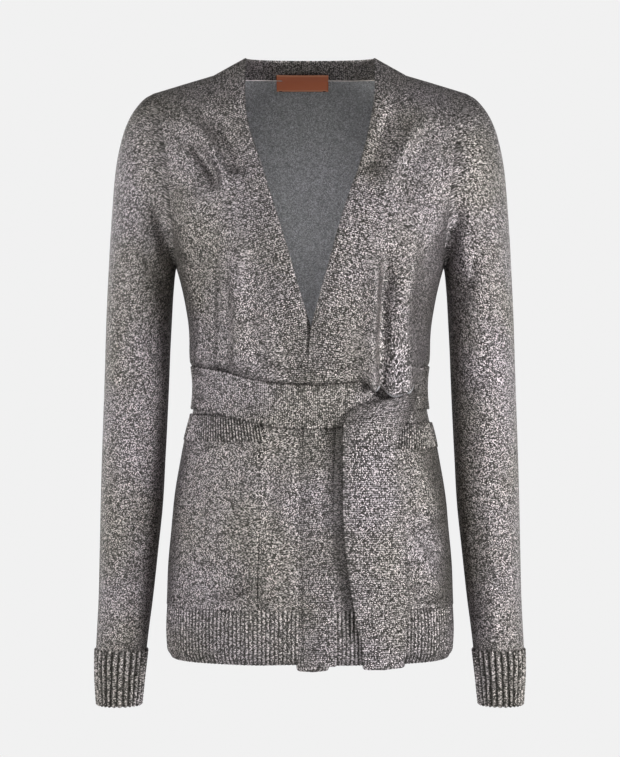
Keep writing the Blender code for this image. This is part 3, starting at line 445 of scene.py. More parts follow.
def backGrid(rowsBelow):
    share = armholeShare()
    armpit = shape["armpit"]
    sideZ = np.concatenate([rowsBelow, armpit + (shape["shoulderPoint"] - armpit) * share])
    cornerZ = np.concatenate([rowsBelow, armpit + (shape["neckCorner"] - armpit) * share])
    middleZ = np.concatenate([rowsBelow, armpit + (shape["backNeck"] - armpit) * share])
    spans = shape["backShoulderSpans"] + shape["backNeckSpans"]
    half = 2 / shape["roundness"]
    rows = []
    for i, (zSide, zCorner, zMiddle) in enumerate(zip(sideZ, cornerZ, middleZ)):
        above = share[max(0, i - len(rowsBelow))]
        width = halfWidth(zSide)
        side = np.interp(zSide, armhole["z"], armhole["x"]) if i >= len(rowsBelow) else width
        lowerCorner = width * math.sin(math.pi / 2 * shape["backNeckSpans"] / spans) ** half
        corner = lowerCorner + (shape["neckSeamX"] - lowerCorner) * above
        corner = min(corner, side * 0.86) if above < 1 else shape["neckSeamX"]
        xs = np.concatenate([
            roundedXs(side, corner, max(width, side), shape["backShoulderSpans"]),
            np.linspace(corner, 0, shape["backNeckSpans"] + 1)[1:],
        ])
        inward = np.clip((side - xs) / (side - corner), 0, 1)
        roundIn = 1 - np.clip(xs / corner, 0, 1) ** 2
        zs = zSide + (zCorner - zSide) * inward + (zMiddle - zCorner) * roundIn
        halfRow = np.stack([xs, depth("back", xs, zs), zs], axis=-1)
        rows.append(np.concatenate([halfRow * [-1, 1, 1], halfRow[-2::-1]]))
    grid = np.array(rows)
    normal = gridNormals(grid, -1)
    return bloused(folded(grid, normal, 0, seed=9.0), normal, "back")


def lengths(grid, axis):
    # distance from the first row or column to each point
    steps = np.linalg.norm(np.diff(grid, axis=axis), axis=-1)
    start = np.zeros_like(np.take(steps, [0], axis=axis))
    return np.concatenate([start, np.cumsum(steps, axis=axis)], axis=axis)


def pick(grid, rows, columns):
    # points at fractional rows and columns
    def along(values, places, axis):
        low = np.clip(np.floor(places).astype(int), 0, values.shape[axis] - 2)
        t = places - low
        t = t.reshape((-1, 1, 1) if axis == 0 else (1, -1, 1))
        return np.take(values, low, axis=axis) * (1 - t) + np.take(values, low + 1, axis=axis) * t
    return along(along(grid, np.asarray(rows, float), 0), np.asarray(columns, float), 1)


def placesAlong(distance, wanted):
    # fractional places on a line whose points lie at these distances
    return np.interp(wanted, distance, np.arange(len(distance)))


# ---- meshes

def makeMesh(name, points, faces, uvs, kinds, materials):
    mesh = bpy.data.meshes.new(name)
    mesh.from_pydata(points.tolist(), [], faces.tolist())
    layer = mesh.uv_layers.new(name="UVMap")
    layer.data.foreach_set("uv", uvs.astype(np.float32).ravel())
    mesh.polygons.foreach_set("material_index", kinds.astype(np.int32))
    mesh.shade_smooth()
    for material in materials:
        mesh.materials.append(material)
    made = bpy.data.objects.new(name, mesh)
    bpy.context.scene.collection.objects.link(made)
    return made


def clothWall(outer, inner, u, v, closed=False, softEdge=0.5):
    # a wall between two grids with rounded rims; u and v are metres of cloth at the points
    rows, cols = outer.shape[:2]
    spans = cols if closed else cols - 1
    if closed:
        outer = np.concatenate([outer, outer[:, :1]], axis=1)
        inner = np.concatenate([inner, inner[:, :1]], axis=1)
        cols += 1
    thick = np.linalg.norm(outer - inner, axis=-1, keepdims=True)
    layers = [outer, inner]
    index = np.arange(2 * rows * cols).reshape(2, rows, cols)
    if closed:
        index[:, :, -1] = index[:, :, 0]
    faces, uvs, kinds = [], [], []
    uvGrid = np.stack([u, v], axis=-1)

    def quads(a, b, c, d, ta, tb, tc, td, kind):
        faces.append(np.stack([a, b, c, d], axis=-1).reshape(-1, 4))
        uvs.append(np.stack([ta, tb, tc, td], axis=-2).reshape(-1, 4, 2))
        kinds.append(np.full(faces[-1].shape[0], kind))

    corner = [(slice(0, -1), slice(0, -1)), (slice(0, -1), slice(1, None)),
              (slice(1, None), slice(1, None)), (slice(1, None), slice(0, -1))]
    way = np.cross(outer[0, 1] - outer[0, 0], outer[1, 0] - outer[0, 0]) @ (outer[0, 0] - inner[0, 0])
    middle = np.cross(outer[rows // 2, cols // 2 + 1] - outer[rows // 2, cols // 2],
                      outer[rows // 2 + 1, cols // 2] - outer[rows // 2, cols // 2])
    way = middle @ (outer[rows // 2, cols // 2] - inner[rows // 2, cols // 2]) if rows > 2 else way
    order = corner if way > 0 else corner[::-1]
    quads(*[index[0][c] for c in order], *[uvGrid[c] for c in order], 0)
    quads(*[index[1][c] for c in order[::-1]], *[uvGrid[c] for c in order[::-1]], 1)

    # rims: a middle line pushed out by half the thickness closes each open edge
    extra = []
    count = 2 * rows * cols

    def rim(edgeOut, edgeIn, idOut, idIn, beside, edgeUv, turned):
        nonlocal count
        push = unit(edgeOut - beside) * np.linalg.norm(edgeOut - edgeIn, axis=-1, keepdims=True) * softEdge
        line = (edgeOut + edgeIn) / 2 + push
        if closed and len(line) == cols:
            line = line[:-1]
        ids = count + np.arange(len(line))
        if closed and len(idOut) == cols:
            ids = np.append(ids, ids[0])
        extra.append(line)
        count += len(line)
        for a, b in ((idOut, ids), (ids, idIn)):
            ring = [a[:-1], a[1:], b[1:], b[:-1]]
            rings = [edgeUv[:-1], edgeUv[1:], edgeUv[1:], edgeUv[:-1]]
            if turned:
                ring, rings = ring[::-1], rings[::-1]
            quads(*ring, *rings, 0)

    forward = way > 0
    rim(outer[0], inner[0], index[0][0], index[1][0], outer[1], uvGrid[0], forward)
    rim(outer[-1], inner[-1], index[0][-1], index[1][-1], outer[-2], uvGrid[-1], not forward)
    if not closed:
        rim(outer[:, 0], inner[:, 0], index[0][:, 0], index[1][:, 0], outer[:, 1], uvGrid[:, 0], not forward)
        rim(outer[:, -1], inner[:, -1], index[0][:, -1], index[1][:, -1], outer[:, -2], uvGrid[:, -1],
            forward)
    points = np.concatenate([layers[0].reshape(-1, 3), layers[1].reshape(-1, 3), *extra])
    faces = np.concatenate(faces)
    used = np.unique(faces)
    moved = np.zeros(len(points), int)
    moved[used] = np.arange(len(used))
    return points[used], moved[faces], np.concatenate(uvs), np.concatenate(kinds)


def joined(parts):
    points, faces, uvs, kinds, start = [], [], [], [], 0
    for p, f, t, k in parts:
        points.append(p)
        faces.append(f + start)
        uvs.append(t)
        kinds.append(k)
        start += len(p)
    return np.concatenate(points), np.concatenate(faces), np.concatenate(uvs), np.concatenate(kinds)


def roundedEnd(distance, radius):  # how far the edges move in at this distance from a strip's end
    left = np.clip(radius - distance, 0, radius)
    return radius - np.sqrt(radius**2 - left**2)


def roll(path, radius):
    # a rolled seam edge with the bumps of its stitches, closed at both ends
    along = unit(np.gradient(path, axis=0))
    side = unit(np.cross(along, [0, 0, 1]))
    up = np.cross(side, along)
    turns = np.arange(6) * math.pi / 3
    swell = radius * (0.8 + 0.2 * np.cos(np.arange(len(path)) * math.pi))[:, None, None]
    rings = path[:, None] + swell * (np.cos(turns)[:, None] * side[:, None] + np.sin(turns)[:, None] * up[:, None])
    index = np.arange(len(path) * 6).reshape(-1, 6)
    turned = np.roll(index, -1, axis=1)
    faces = np.stack([index[:-1], index[1:], turned[1:], turned[:-1]], axis=-1).reshape(-1, 4)
    first, last = index[0], index[-1]
    caps = [[first[0], first[1], first[2], first[3]], [first[0], first[3], first[4], first[5]],
            [last[3], last[2], last[1], last[0]], [last[5], last[4], last[3], last[0]]]
    faces = np.concatenate([faces, np.array(caps)])
    points = rings.reshape(-1, 3)
    corners = points[faces]
    volume = np.einsum("ij,ij->i", corners[:, 0], np.cross(corners[:, 1], corners[:, 2])).sum()
    volume += np.einsum("ij,ij->i", corners[:, 0], np.cross(corners[:, 2], corners[:, 3])).sum()
    if volume < 0:
        faces = faces[:, ::-1]
    return points, faces, np.zeros((len(faces), 4, 2)), np.zeros(len(faces), int)


def wear(name, wall, materials, nodes, flat, area, rests):
    made = makeMesh(name, *wall, materials)
    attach(made, "root")
    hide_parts(*nodes)
    corners = wall[0][wall[1]]
    size = np.linalg.norm(np.cross(corners[:, 2] - corners[:, 0], corners[:, 3] - corners[:, 1]),
                          axis=-1).sum() / 4
    print(f"{name}: {len(wall[1]) * 2} triangles, cloth {size:.4f} m2 for a cut of {area or flat[0] * flat[1]:.4f}")
    return made


# ---- finishes

class Wire:
    # one output socket of a material; sums on it become Math nodes
    def __init__(self, tree, socket):
        self.tree, self.socket = tree, socket

    def node(self, kind, settings=None, inputs=None, output=0):
        made = self.tree.nodes.new(kind)
        for name, value in (settings or {}).items():
            if name == "stops":
                ramp = made.color_ramp.elements
                while len(ramp) < len(value):
                    ramp.new(0.5)
                for stop, (place, colour) in zip(ramp, value):
                    stop.position, stop.color = place, colour
            else:
                setattr(made, name, value)
        for name, value in (inputs or {}).items():
            if isinstance(value, Wire):
                self.tree.links.new(value.socket, made.inputs[name])
            else:
                made.inputs[name].default_value = value
        return Wire(self.tree, made.outputs[output])

    def sum(self, operation, *values):
        return self.node("ShaderNodeMath", {"operation": operation}, dict(enumerate(values)))

    def __add__(self, other):
        return self.sum("ADD", self, other)

    __radd__ = __add__

    def __sub__(self, other):
        return self.sum("SUBTRACT", self, other)

    def __rsub__(self, other):
        return self.sum("SUBTRACT", other, self)

    def __mul__(self, other):
        return self.sum("MULTIPLY", self, other)

    __rmul__ = __mul__

    def __truediv__(self, other):
        return self.sum("DIVIDE", self, other)

    def __pow__(self, other):
        return self.sum("POWER", self, other)

    def __gt__(self, other):
        return self.sum("GREATER_THAN", self, other)

    def __abs__(self):
        return self.sum("ABSOLUTE", self)

    def __floor__(self):
        return self.sum("FLOOR", self)

    def sine(self):
        return self.sum("SINE", self)

    def clamped(self):
        return self.node("ShaderNodeClamp", {}, {"Value": self})

    def mixed(self, start, end):  # start where this is 0, end where it is 1
        return self.node("ShaderNodeMix", {"data_type": "RGBA"}, {0: self, 6: start, 7: end}, 2)


def colour(r, g, b):
    return (r, g, b, 1.0)


# Metallic yarn: dark core, bright foil, and how much of it catches the light
knitLook = {
    "wale": 1.08 * mm, "course": 0.98 * mm, "chevron": 0.3,
    "dark": colour(0.022, 0.021, 0.016), "foil": colour(0.88, 0.77, 0.77),
    "cool": colour(0.78, 0.73, 0.78), "olive": colour(0.60, 0.58, 0.52),
    "least": 0.015, "more": 0.12, "glint": 1.3, "glintPower": 3.6,
    "tilt": 0.55, "roughness": 0.32, "metallic": 0.45, "bump": 0.4,
    "groove": 0.0, "ribPitch": 4.5 * mm, "stitchShare": 0.85, "metalMore": 0.35, "crest": 0.9,
}


def knitMaterial(name, **changes):
    look = {**knitLook, **changes}
    material = bpy.data.materials.new(name)
    material.use_nodes = True
    tree = material.node_tree
    shader = tree.nodes["Principled BSDF"]
    start = Wire(tree, None)
    uv = start.node("ShaderNodeUVMap", {"uv_map": "UVMap"})
    u = uv.node("ShaderNodeSeparateXYZ", {}, {0: uv}, 0)
    v = uv.node("ShaderNodeSeparateXYZ", {}, {0: uv}, 1)
    wales = u / look["wale"]
    column = math.floor(wales)
    across = wales - column - 0.5
    courses = v / look["course"] + abs(across) * look["chevron"]
    row = math.floor(courses)
    along = courses - row
    leg = column * 2 + (across > 0)
    cell = leg.node("ShaderNodeCombineXYZ", {}, {"X": column, "Y": row, "Z": 0.5})
    half = leg.node("ShaderNodeCombineXYZ", {}, {"X": leg, "Y": row, "Z": 2.5})
    luck = cell.node("ShaderNodeTexWhiteNoise", {"noise_dimensions": "3D"}, {"Vector": cell}, "Value")
    legLuck = cell.node("ShaderNodeTexWhiteNoise", {"noise_dimensions": "3D"}, {"Vector": half}, "Value")
    luck = luck * look["stitchShare"] + legLuck * (1 - look["stitchShare"])
    lean = cell.node("ShaderNodeTexWhiteNoise", {"noise_dimensions": "3D"}, {"Vector": cell}, "Color")
    place = cell.node("ShaderNodeTexCoord", {}, {}, "Object")
    slow = place.node("ShaderNodeTexNoise", {}, {"Vector": place, "Scale": 9.0, "Detail": 2.0}, "Fac")
    patch = place.node("ShaderNodeTexNoise", {}, {"Vector": place, "Scale": 160.0, "Detail": 3.0}, "Fac")
    foil = slow.node("ShaderNodeMapRange", {}, {0: slow, 1: 0.38, 2: 0.62}).mixed(look["olive"], look["cool"])
    foil = (luck * 0.5).mixed(foil, look["foil"])
    shine = look["least"] + luck * look["more"] + (luck ** look["glintPower"]) * look["glint"]
    shine = shine * (0.75 + patch * 0.5)
    # ribbed parts: painted shade darkens the base colour in the rib grooves and a painted highlight lightens it on
    # the crests
    if look["groove"]:
        paintedRibLight = (u * (2 * math.pi / look["ribPitch"]) + math.pi / 2).sine() * 0.5 + 0.5
        shine = shine * (1 - look["groove"] + paintedRibLight * look["groove"] * (1 + look["crest"]))
    shine = shine.clamped()
    tree.links.new(shine.mixed(look["dark"], foil).socket, shader.inputs["Base Color"])
    tree.links.new((look["roughness"] + (1 - luck) * 0.2).socket, shader.inputs["Roughness"])
    tree.links.new((look["metallic"] + luck * look["metalMore"]).socket, shader.inputs["Metallic"])
    loop = (along * math.pi).sine() * (1 - abs(abs(across) - 0.25) * 3)
    bump = loop.node("ShaderNodeBump", {}, {"Strength": look["bump"], "Distance": 0.5 * mm, "Height": loop})
    tilt = lean.node("ShaderNodeVectorMath", {"operation": "SUBTRACT"}, {0: lean, 1: (0.5, 0.5, 0.5)})
    tilt = tilt.node("ShaderNodeVectorMath", {"operation": "SCALE"}, {0: tilt, "Scale": look["tilt"]})
    facing = bump.node("ShaderNodeVectorMath", {"operation": "ADD"}, {0: bump, 1: tilt})
    facing = facing.node("ShaderNodeVectorMath", {"operation": "NORMALIZE"}, {0: facing})
    tree.links.new(facing.socket, shader.inputs["Normal"])
    return material


labelLook = {"base": colour(0.80, 0.20, 0.075), "edge": colour(0.86, 0.36, 0.20), "thread": 0.4 * mm}


def labelMaterial(name):
    material = bpy.data.materials.new(name)
    material.use_nodes = True
    tree = material.node_tree
    shader = tree.nodes["Principled BSDF"]
    start = Wire(tree, None)
    uv = start.node("ShaderNodeUVMap", {"uv_map": "UVMap"})
    u = uv.node("ShaderNodeSeparateXYZ", {}, {0: uv}, 0)
    v = uv.node("ShaderNodeSeparateXYZ", {}, {0: uv}, 1)
    warp = (u * (2 * math.pi / labelLook["thread"])).sine()
    weft = (v * (2 * math.pi / labelLook["thread"])).sine()
    weave = warp * weft * 0.5 + 0.5
    edge = (abs(v) > 6.9 * mm) * 0.7 + weave * 0.18
    tree.links.new(edge.mixed(labelLook["base"], labelLook["edge"]).socket, shader.inputs["Base Color"])
    bump = weave.node("ShaderNodeBump", {}, {"Strength": 0.3, "Distance": 0.1 * mm, "Height": weave})
    tree.links.new(bump.socket, shader.inputs["Normal"])
    shader.inputs["Roughness"].default_value = 0.42
    shader.inputs["Sheen Weight"].default_value = 0.3
    return material


knitOut = knitMaterial("knitOut")
# the inside of the cloth: the greyer reverse side of the yarn with little glitter, its colour made much paler as
# painted light for the shaded inside of the back
reverseKnitWithPaintedLight = knitMaterial("reverseKnitWithPaintedLight", foil=colour(0.80, 0.80, 0.84), cool=colour(0.78, 0.78, 0.82),
                      olive=colour(0.76, 0.77, 0.78), least=0.30, more=0.42, glint=0.25, tilt=0.15,
                      metallic=0.0, metalMore=0.0, roughness=0.7, bump=0.3)
# the ribbed knits carry painted shade in their rib grooves and a painted highlight on their crests
hemKnit = knitMaterial("hemKnit", groove=0.75, ribPitch=4.5 * mm)
cuffKnit = knitMaterial("cuffKnit", groove=0.92, ribPitch=6.4 * mm)
trimKnit = knitMaterial("trimKnit", groove=0.92, ribPitch=3.3 * mm)
bandKnit = knitMaterial("bandKnit", groove=0.45, ribPitch=2.3 * mm, wale=1.15 * mm, course=0.95 * mm)
labelCloth = labelMaterial("labelCloth")
tackThread = bpy.data.materials.new("tackThread")
tackThread.use_nodes = True
tackThread.node_tree.nodes["Principled BSDF"].inputs["Base Color"].default_value = colour(0.012, 0.011, 0.012)
print("finishes made")


# ---- body

pocketCut = {
    "right": {"bagTop": -0.4190, "trimTop": -0.3915, "belly": 1.5 * mm},
    "left": {"bagTop": -0.4265, "trimTop": -0.4010, "belly": 1.5 * mm},
}
marks = {side: [shape["hemBottom"], shape["hemSeam"], cut["bagTop"], cut["trimTop"], shape["armpit"]]
         for side, cut in pocketCut.items()}
rowsOf = {side: rowsBetween(heights) for side, heights in marks.items()}
# both sides and the back meet along the sleeves, so all have the same number of rows below the armpit
rowCount = len(rowsOf["right"])
rowsOf["left"] = np.interp(np.linspace(0, 1, rowCount), np.linspace(0, 1, len(rowsOf["left"])),
                           rowsOf["left"])
rowsOf = {side: heights[:-1] for side, heights in rowsOf.items()}
below = rowCount - 1
right = frontGrid(-1, rowsOf["right"])
left = frontGrid(1, rowsOf["left"])
back = backGrid(rowsOf["right"])
rightNormal = gridNormals(right, 1)
leftNormal = gridNormals(left, -1)
backNormal = gridNormals(back, -1)

for grid, normal, columns in ((right, rightNormal, (0,)), (left, leftNormal, (0,)),
                              (back, backNormal, (0, -1))):
    for column in columns:
        upwards = np.gradient(grid[: below + 1, column], axis=0)
        facing = np.cross([0, 1, 0], upwards)
        outwards = np.sign(grid[: below + 1, column, 0] * facing[:, 0])
        normal[: below + 1, column] = unit(facing * outwards[:, None])
    facing = unit(np.cross(np.gradient(grid[-1], axis=0), [0, 1, 0]))
    normal[-1] = facing * np.sign(facing[:, 2:3])
print("body surfaces made")


def neckEdge(xSeam):
    turn = math.pi / 2 * (1 + xSeam / shape["neckSeamX"])
    around = np.array([-math.cos(turn) * shape["neckEdgeX"], math.sin(turn) * shape["neckBackDepth"], 0])
    return around + [0, 0, shape["neckBackRise"] * math.sin(turn)]


seamColumn = shape["sideSpans"] + shape["frontSpans"]
cornerColumn = shape["backShoulderSpans"]
neckRows = []
for i in range(cornerColumn + 1, back.shape[1] - cornerColumn - 1):
    seamPoint = back[-1, i]
    lean = np.linspace(0, 1, shape["bandSpans"] + 1)[:, None]
    neckRows.append(np.concatenate([back[-2:-1, i], seamPoint + (neckEdge(seamPoint[0]) - seamPoint) * lean]))
bandBase = np.concatenate([right[:, seamColumn - 1:], np.array(neckRows), left[::-1, seamColumn - 1:]])
bandNormal = gridNormals(bandBase, 1)[:, 1:]
bandBase = bandBase[:, 1:]
bandRowsUp = right.shape[0]
rightNormal[:, seamColumn] = bandNormal[:bandRowsUp, 0]
leftNormal[:, seamColumn] = bandNormal[::-1][:bandRowsUp, 0]

# sleeves start on the ring that the front and the back leave at the armhole
sleeveLook = {"step": 3.4 * mm, "cuffTop": -0.648}


def smoothRows(at, rows, wanted):
    slopes = np.gradient(rows, at, axis=0)
    i = np.clip(np.searchsorted(at, wanted) - 1, 0, len(at) - 2)
    step = (at[i + 1] - at[i])[:, None, None]
    t = np.clip((wanted - at[i]) / (at[i + 1] - at[i]), 0, 1)[:, None, None]
    ends = rows[i] * (1 + 2 * t) * (1 - t) ** 2 + rows[i + 1] * t**2 * (3 - 2 * t)
    return ends + step * (slopes[i] * t * (1 - t) ** 2 - slopes[i + 1] * t**2 * (1 - t))


def ringFrame(ring, hand):
    slope = ring[shape["armholeSpans"]] - ring[0]
    way = unit(np.array([hand * slope[2], 0, -hand * slope[0]]))
    around = np.concatenate([ring[-1:], ring, ring[:1]])
    normal = unit(np.cross(np.gradient(around, axis=0)[1:-1], way))
    return way, normal * np.sign(np.sum(normal * (ring - ring.mean(axis=0))))


def outwardNormals(grid):
    normal = gridNormals(grid, 1, closed=True)
    middle = grid.mean(axis=1, keepdims=True)
    return normal * np.sign(np.sum(normal * (grid - middle)))


def sleeveGrid(ring, hand):
    turns = np.linspace(0, 2 * math.pi, 2 * shape["armholeSpans"], endpoint=False)
    sections = [ring]
    for i in range(len(sleeveCut["outerX"])):
        outer = np.array([hand * sleeveCut["outerX"][i], 0, sleeveCut["outerZ"][i]])
        inner = np.array([hand * sleeveCut["innerX"][i], 0, sleeveCut["innerZ"][i]])
        centre = (outer + inner) / 2 - [0, sleeveCut["forward"][i], 0]
        reach = (outer - inner) / 2
        deep = np.array([0, sleeveCut["halfDepth"][i], 0])
        sections.append(centre - np.cos(turns)[:, None] * reach - np.sin(turns)[:, None] * deep)
    sections = np.array(sections)
    at = lengths(sections, 0).mean(axis=1)
    cuffAt = at[-3]
    armRows = np.linspace(0, cuffAt, round(cuffAt / sleeveLook["step"]) + 1)
    cuffRows = np.linspace(cuffAt, at[-1], 22)
    grid = smoothRows(at, sections, np.concatenate([armRows, cuffRows[1:]]))
    normal = outwardNormals(grid)
    for side in (1, 0):
        facing = np.where((normal[..., 1:2] < 0) == bool(side), normal, 0)
        moved = folded(grid, facing, side, seed=20.0 + hand)
        grid = np.concatenate([grid[:1], moved[1:]])
    return grid, len(armRows)


arms = {}
for side, hand, front, frontNormal, column in (("right", -1, right, rightNormal, 0),
                                               ("left", 1, left, leftNormal, -1)):
    ring = np.concatenate([front[below:, 0], back[below + 1:-1, column][::-1]])
    way, ringNormal = ringFrame(ring, hand)
    frontNormal[below:, 0] = ringNormal[: shape["armholeSpans"] + 1]
    backNormal[below + 1:-1, column] = ringNormal[shape["armholeSpans"] + 1:][::-1]
    backNormal[below, column] = ringNormal[0]
    backNormal[-1, column] = ringNormal[shape["armholeSpans"]]
    grid, armRows = sleeveGrid(ring, hand)
    normal = outwardNormals(grid)
    normal[0] = ringNormal
    arms[side] = (grid, normal, armRows)
print("sleeve surfaces made")

thickness = shape["clothThickness"]
hemRow = int(np.argmin(np.abs(rowsOf["right"] - shape["hemSeam"])))
hemRowLeft = int(np.argmin(np.abs(rowsOf["left"] - shape["hemSeam"])))


def panelWall(grid, normal, uZero):
    u = lengths(grid, 1)
    u = u + uZero(grid, u)
    v = np.repeat(lengths(grid, 0).mean(axis=1)[:, None], grid.shape[1], axis=1)
    return clothWall(grid, grid - normal * thickness, u, v)


def fromSeam(grid, u):  # wales stay upright, so u counts from the middle of the front
    return -u[:, -1:] - np.abs(grid[:, -1:, 0])


def fromMiddle(grid, u):
    return -u[:, grid.shape[1] // 2:grid.shape[1] // 2 + 1]


panel = slice(0, seamColumn + 1)
wear("frontRight", panelWall(right[hemRow:, panel], rightNormal[hemRow:, panel], fromSeam), [knitOut, reverseKnitWithPaintedLight],
     ["front_right"], (0.25, 0.60), 0.107, ["back"])
wear("frontLeft", panelWall(left[hemRowLeft:, panel], leftNormal[hemRowLeft:, panel], fromSeam),
     [knitOut, reverseKnitWithPaintedLight],
     ["front_left"], (0.25, 0.60), 0.107, ["back"])
wear("backPanel", panelWall(back[hemRow:], backNormal[hemRow:], fromMiddle), [knitOut, reverseKnitWithPaintedLight],
     ["back"], (0.45, 0.60), 0.24, ["sleeve_left", "sleeve_right"])


# ribbing: a base surface cut again in steps of a rib, with its crests raised
def ribbed(base, normal, rowPlaces, pitch, height, perRib, closed=False, wobble=0.0, lean=None):
    if closed:
        base = np.concatenate([base, base[:, :1]], axis=1)
        normal = np.concatenate([normal, normal[:, :1]], axis=1)
    across = lengths(base, 1).mean(axis=0)
    count = max(2, round(across[-1] / pitch))
    places = placesAlong(across, np.linspace(0, across[-1], count * perRib + 1))
    grid = pick(base, rowPlaces, places)
    facing = unit(pick(normal, rowPlaces, places))
    k = np.arange(grid.shape[1])
    v = np.repeat(lengths(grid, 0).mean(axis=1)[:, None], grid.shape[1], axis=1)
    if lean is not None:
        stepAcross = unit(np.gradient(grid, axis=1))
        grid = grid + stepAcross * (lean * (v - v.max()))[..., None]
    crest = (0.5 + 0.5 * np.cos(2 * math.pi * k / perRib))[None, :] ** 0.8
    if wobble:
        shift = np.array([[noise.noise((c / perRib * 0.35, r * 0.11,
                                        5.0)) for c in k] for r in range(len(rowPlaces))])
        grid = grid + unit(np.gradient(grid, axis=1)) * (wobble * shift)[..., None]
    outer = grid + facing * (height * crest)[..., None]
    u = np.repeat((k / perRib * pitch)[None, :], grid.shape[0], axis=0)
    if closed:
        outer, grid, facing = outer[:, :-1], grid[:, :-1], facing[:, :-1]
    return outer, grid, facing, u, v


hemLook = {"pitch": 4.5 * mm, "height": 0.95 * mm, "perRib": 6, "rows": 20, "curl": 4.0 * mm,
           "curlFrom": 0.011}


def curledHem(points, normal):
    # the free edge turns in a little
    low = easeIn(points[..., 2], shape["hemBottom"] + hemLook["curlFrom"], shape["hemBottom"])
    return points - normal * (hemLook["curl"] * low**2)[..., None]


for name, node, grid, normal, top, columns in (
    ("hemFrontRight", "hem_front_right", right, rightNormal, hemRow, panel),
    ("hemFrontLeft", "hem_front_left", left, leftNormal, hemRowLeft, panel),
    ("hemBack", "hem_back", back, backNormal, hemRow, slice(None)),
):
    rowPlaces = np.linspace(0, top, hemLook["rows"])
    outer, base, facing, u, v = ribbed(grid[: top + 1, columns], normal[: top + 1, columns], rowPlaces,
                                       hemLook["pitch"], hemLook["height"], hemLook["perRib"],
                                       wobble=0.5 * mm)
    outer, base = curledHem(outer, facing), curledHem(base, facing)
    width = 0.41 if node == "hem_back" else 0.20
    wear(name, clothWall(outer, base - facing * thickness, u, v), [hemKnit, reverseKnitWithPaintedLight], [node],
         (width, 0.058), None, [node.replace("hem_", "") if node != "hem_back" else "back"])
print("hem made")

cuffLook = {"pitch": 6.4 * mm, "height": 2.2 * mm, "perRib": 10}
for side in ("right", "left"):
    grid, normal, armRows = arms[side]
    arm, armNormal = grid[:armRows], normal[:armRows]
    u = lengths(np.concatenate([arm, arm[:, :1]], axis=1), 1)
    v = lengths(arm, 0)
    v = v - v[-1]
    v = np.concatenate([v, v[:, :1]], axis=1)
    wear(f"sleeve{side.title()}", clothWall(arm, arm - armNormal * thickness, u, v, closed=True),
         [knitOut, reverseKnitWithPaintedLight],
         [f"sleeve_{side}"], (0.36, 0.58), 0.15, [f"front_{side}", "back"])
    cuff, cuffNormal = grid[armRows - 1:], normal[armRows - 1:]
    outer, base, facing, u, v = ribbed(cuff, cuffNormal, np.arange(cuff.shape[0]), cuffLook["pitch"],
                                       cuffLook["height"], cuffLook["perRib"], closed=True, wobble=1.1 * mm)
    wear(f"cuff{side.title()}", clothWall(outer, base - facing * thickness, u, v, closed=True),
         [cuffKnit, reverseKnitWithPaintedLight],
         [f"cuff_{side}"], (0.17, 0.06), None, [f"sleeve_{side}"])
print("sleeves and cuffs made")

# front band, knitted crosswise
bandLook = {"pitch": 2.3 * mm, "height": 0.30 * mm, "perRib": 4, "tab": 6.5 * mm, "tabFrom": 0.012,
            "press": 2.2 * mm, "thin": 0.45, "tabRound": 3.5 * mm}
bandAlong = lengths(bandBase, 0).mean(axis=1)
ribCount = round(bandAlong[-1] / bandLook["pitch"])
bandPlaces = placesAlong(bandAlong, np.linspace(0, bandAlong[-1], ribCount * bandLook["perRib"] + 1))
bandColumns = np.arange(bandBase.shape[1])
bandGrid = pick(bandBase, bandPlaces, bandColumns)
bandFacing = unit(pick(bandNormal, bandPlaces, bandColumns))
k = np.arange(len(bandPlaces))
crest = 0.5 + 0.5 * np.cos(2 * math.pi * k / bandLook["perRib"])
bandU = np.repeat((k / bandLook["perRib"] * bandLook["pitch"])[:, None], len(bandColumns), axis=1)
bandV = np.repeat(lengths(bandGrid, 1).mean(axis=0)[None, :], len(bandPlaces), axis=0)
# the band's free edges are thin and press on the cloth below
reach = bandV[:1] / bandV[:1].max()
press = easeIn(reach, 0.72, 1.0) * easeIn(bandGrid[..., 2], -0.18, -0.30)
bandGrid = bandGrid - bandFacing * (bandLook["press"] * press)[..., None]
bandThick = thickness * (1 - bandLook["thin"] * press)
# the end of the band that lies under hangs a little lower than the hem
low = easeIn(bandGrid[..., 2], shape["hemBottom"] + bandLook["tabFrom"],
             shape["hemBottom"]) * (k < len(k) // 2)[:, None]
bandGrid = bandGrid - np.array([0, 0, 1]) * (bandLook["tab"] * low)[..., None]
inset = roundedEnd(bandU[:, :1], bandLook["tabRound"]) / (shape["bandSpan"] / 2)
bandGrid = bandGrid + (bandGrid.mean(axis=1, keepdims=True) - bandGrid) * inset[..., None]
outer = bandGrid + bandFacing * (bandLook["height"] * crest)[:, None, None]
seamEnds = slice(bandRowsUp, bandBase.shape[0] - bandRowsUp)
neckSeam = roll(bandBase[seamEnds, 0] - bandNormal[seamEnds, 0] * (thickness + 0.4 * mm), 1.1 * mm)
bandWall = clothWall(outer, bandGrid - bandFacing * bandThick[..., None], bandU, bandV)
wear("frontBand", joined([bandWall, neckSeam]), [bandKnit, bandKnit],
     ["front_band"], (0.034, 1.56), None, ["front_left", "front_right", "back"])
print("band made")


# ---- pockets

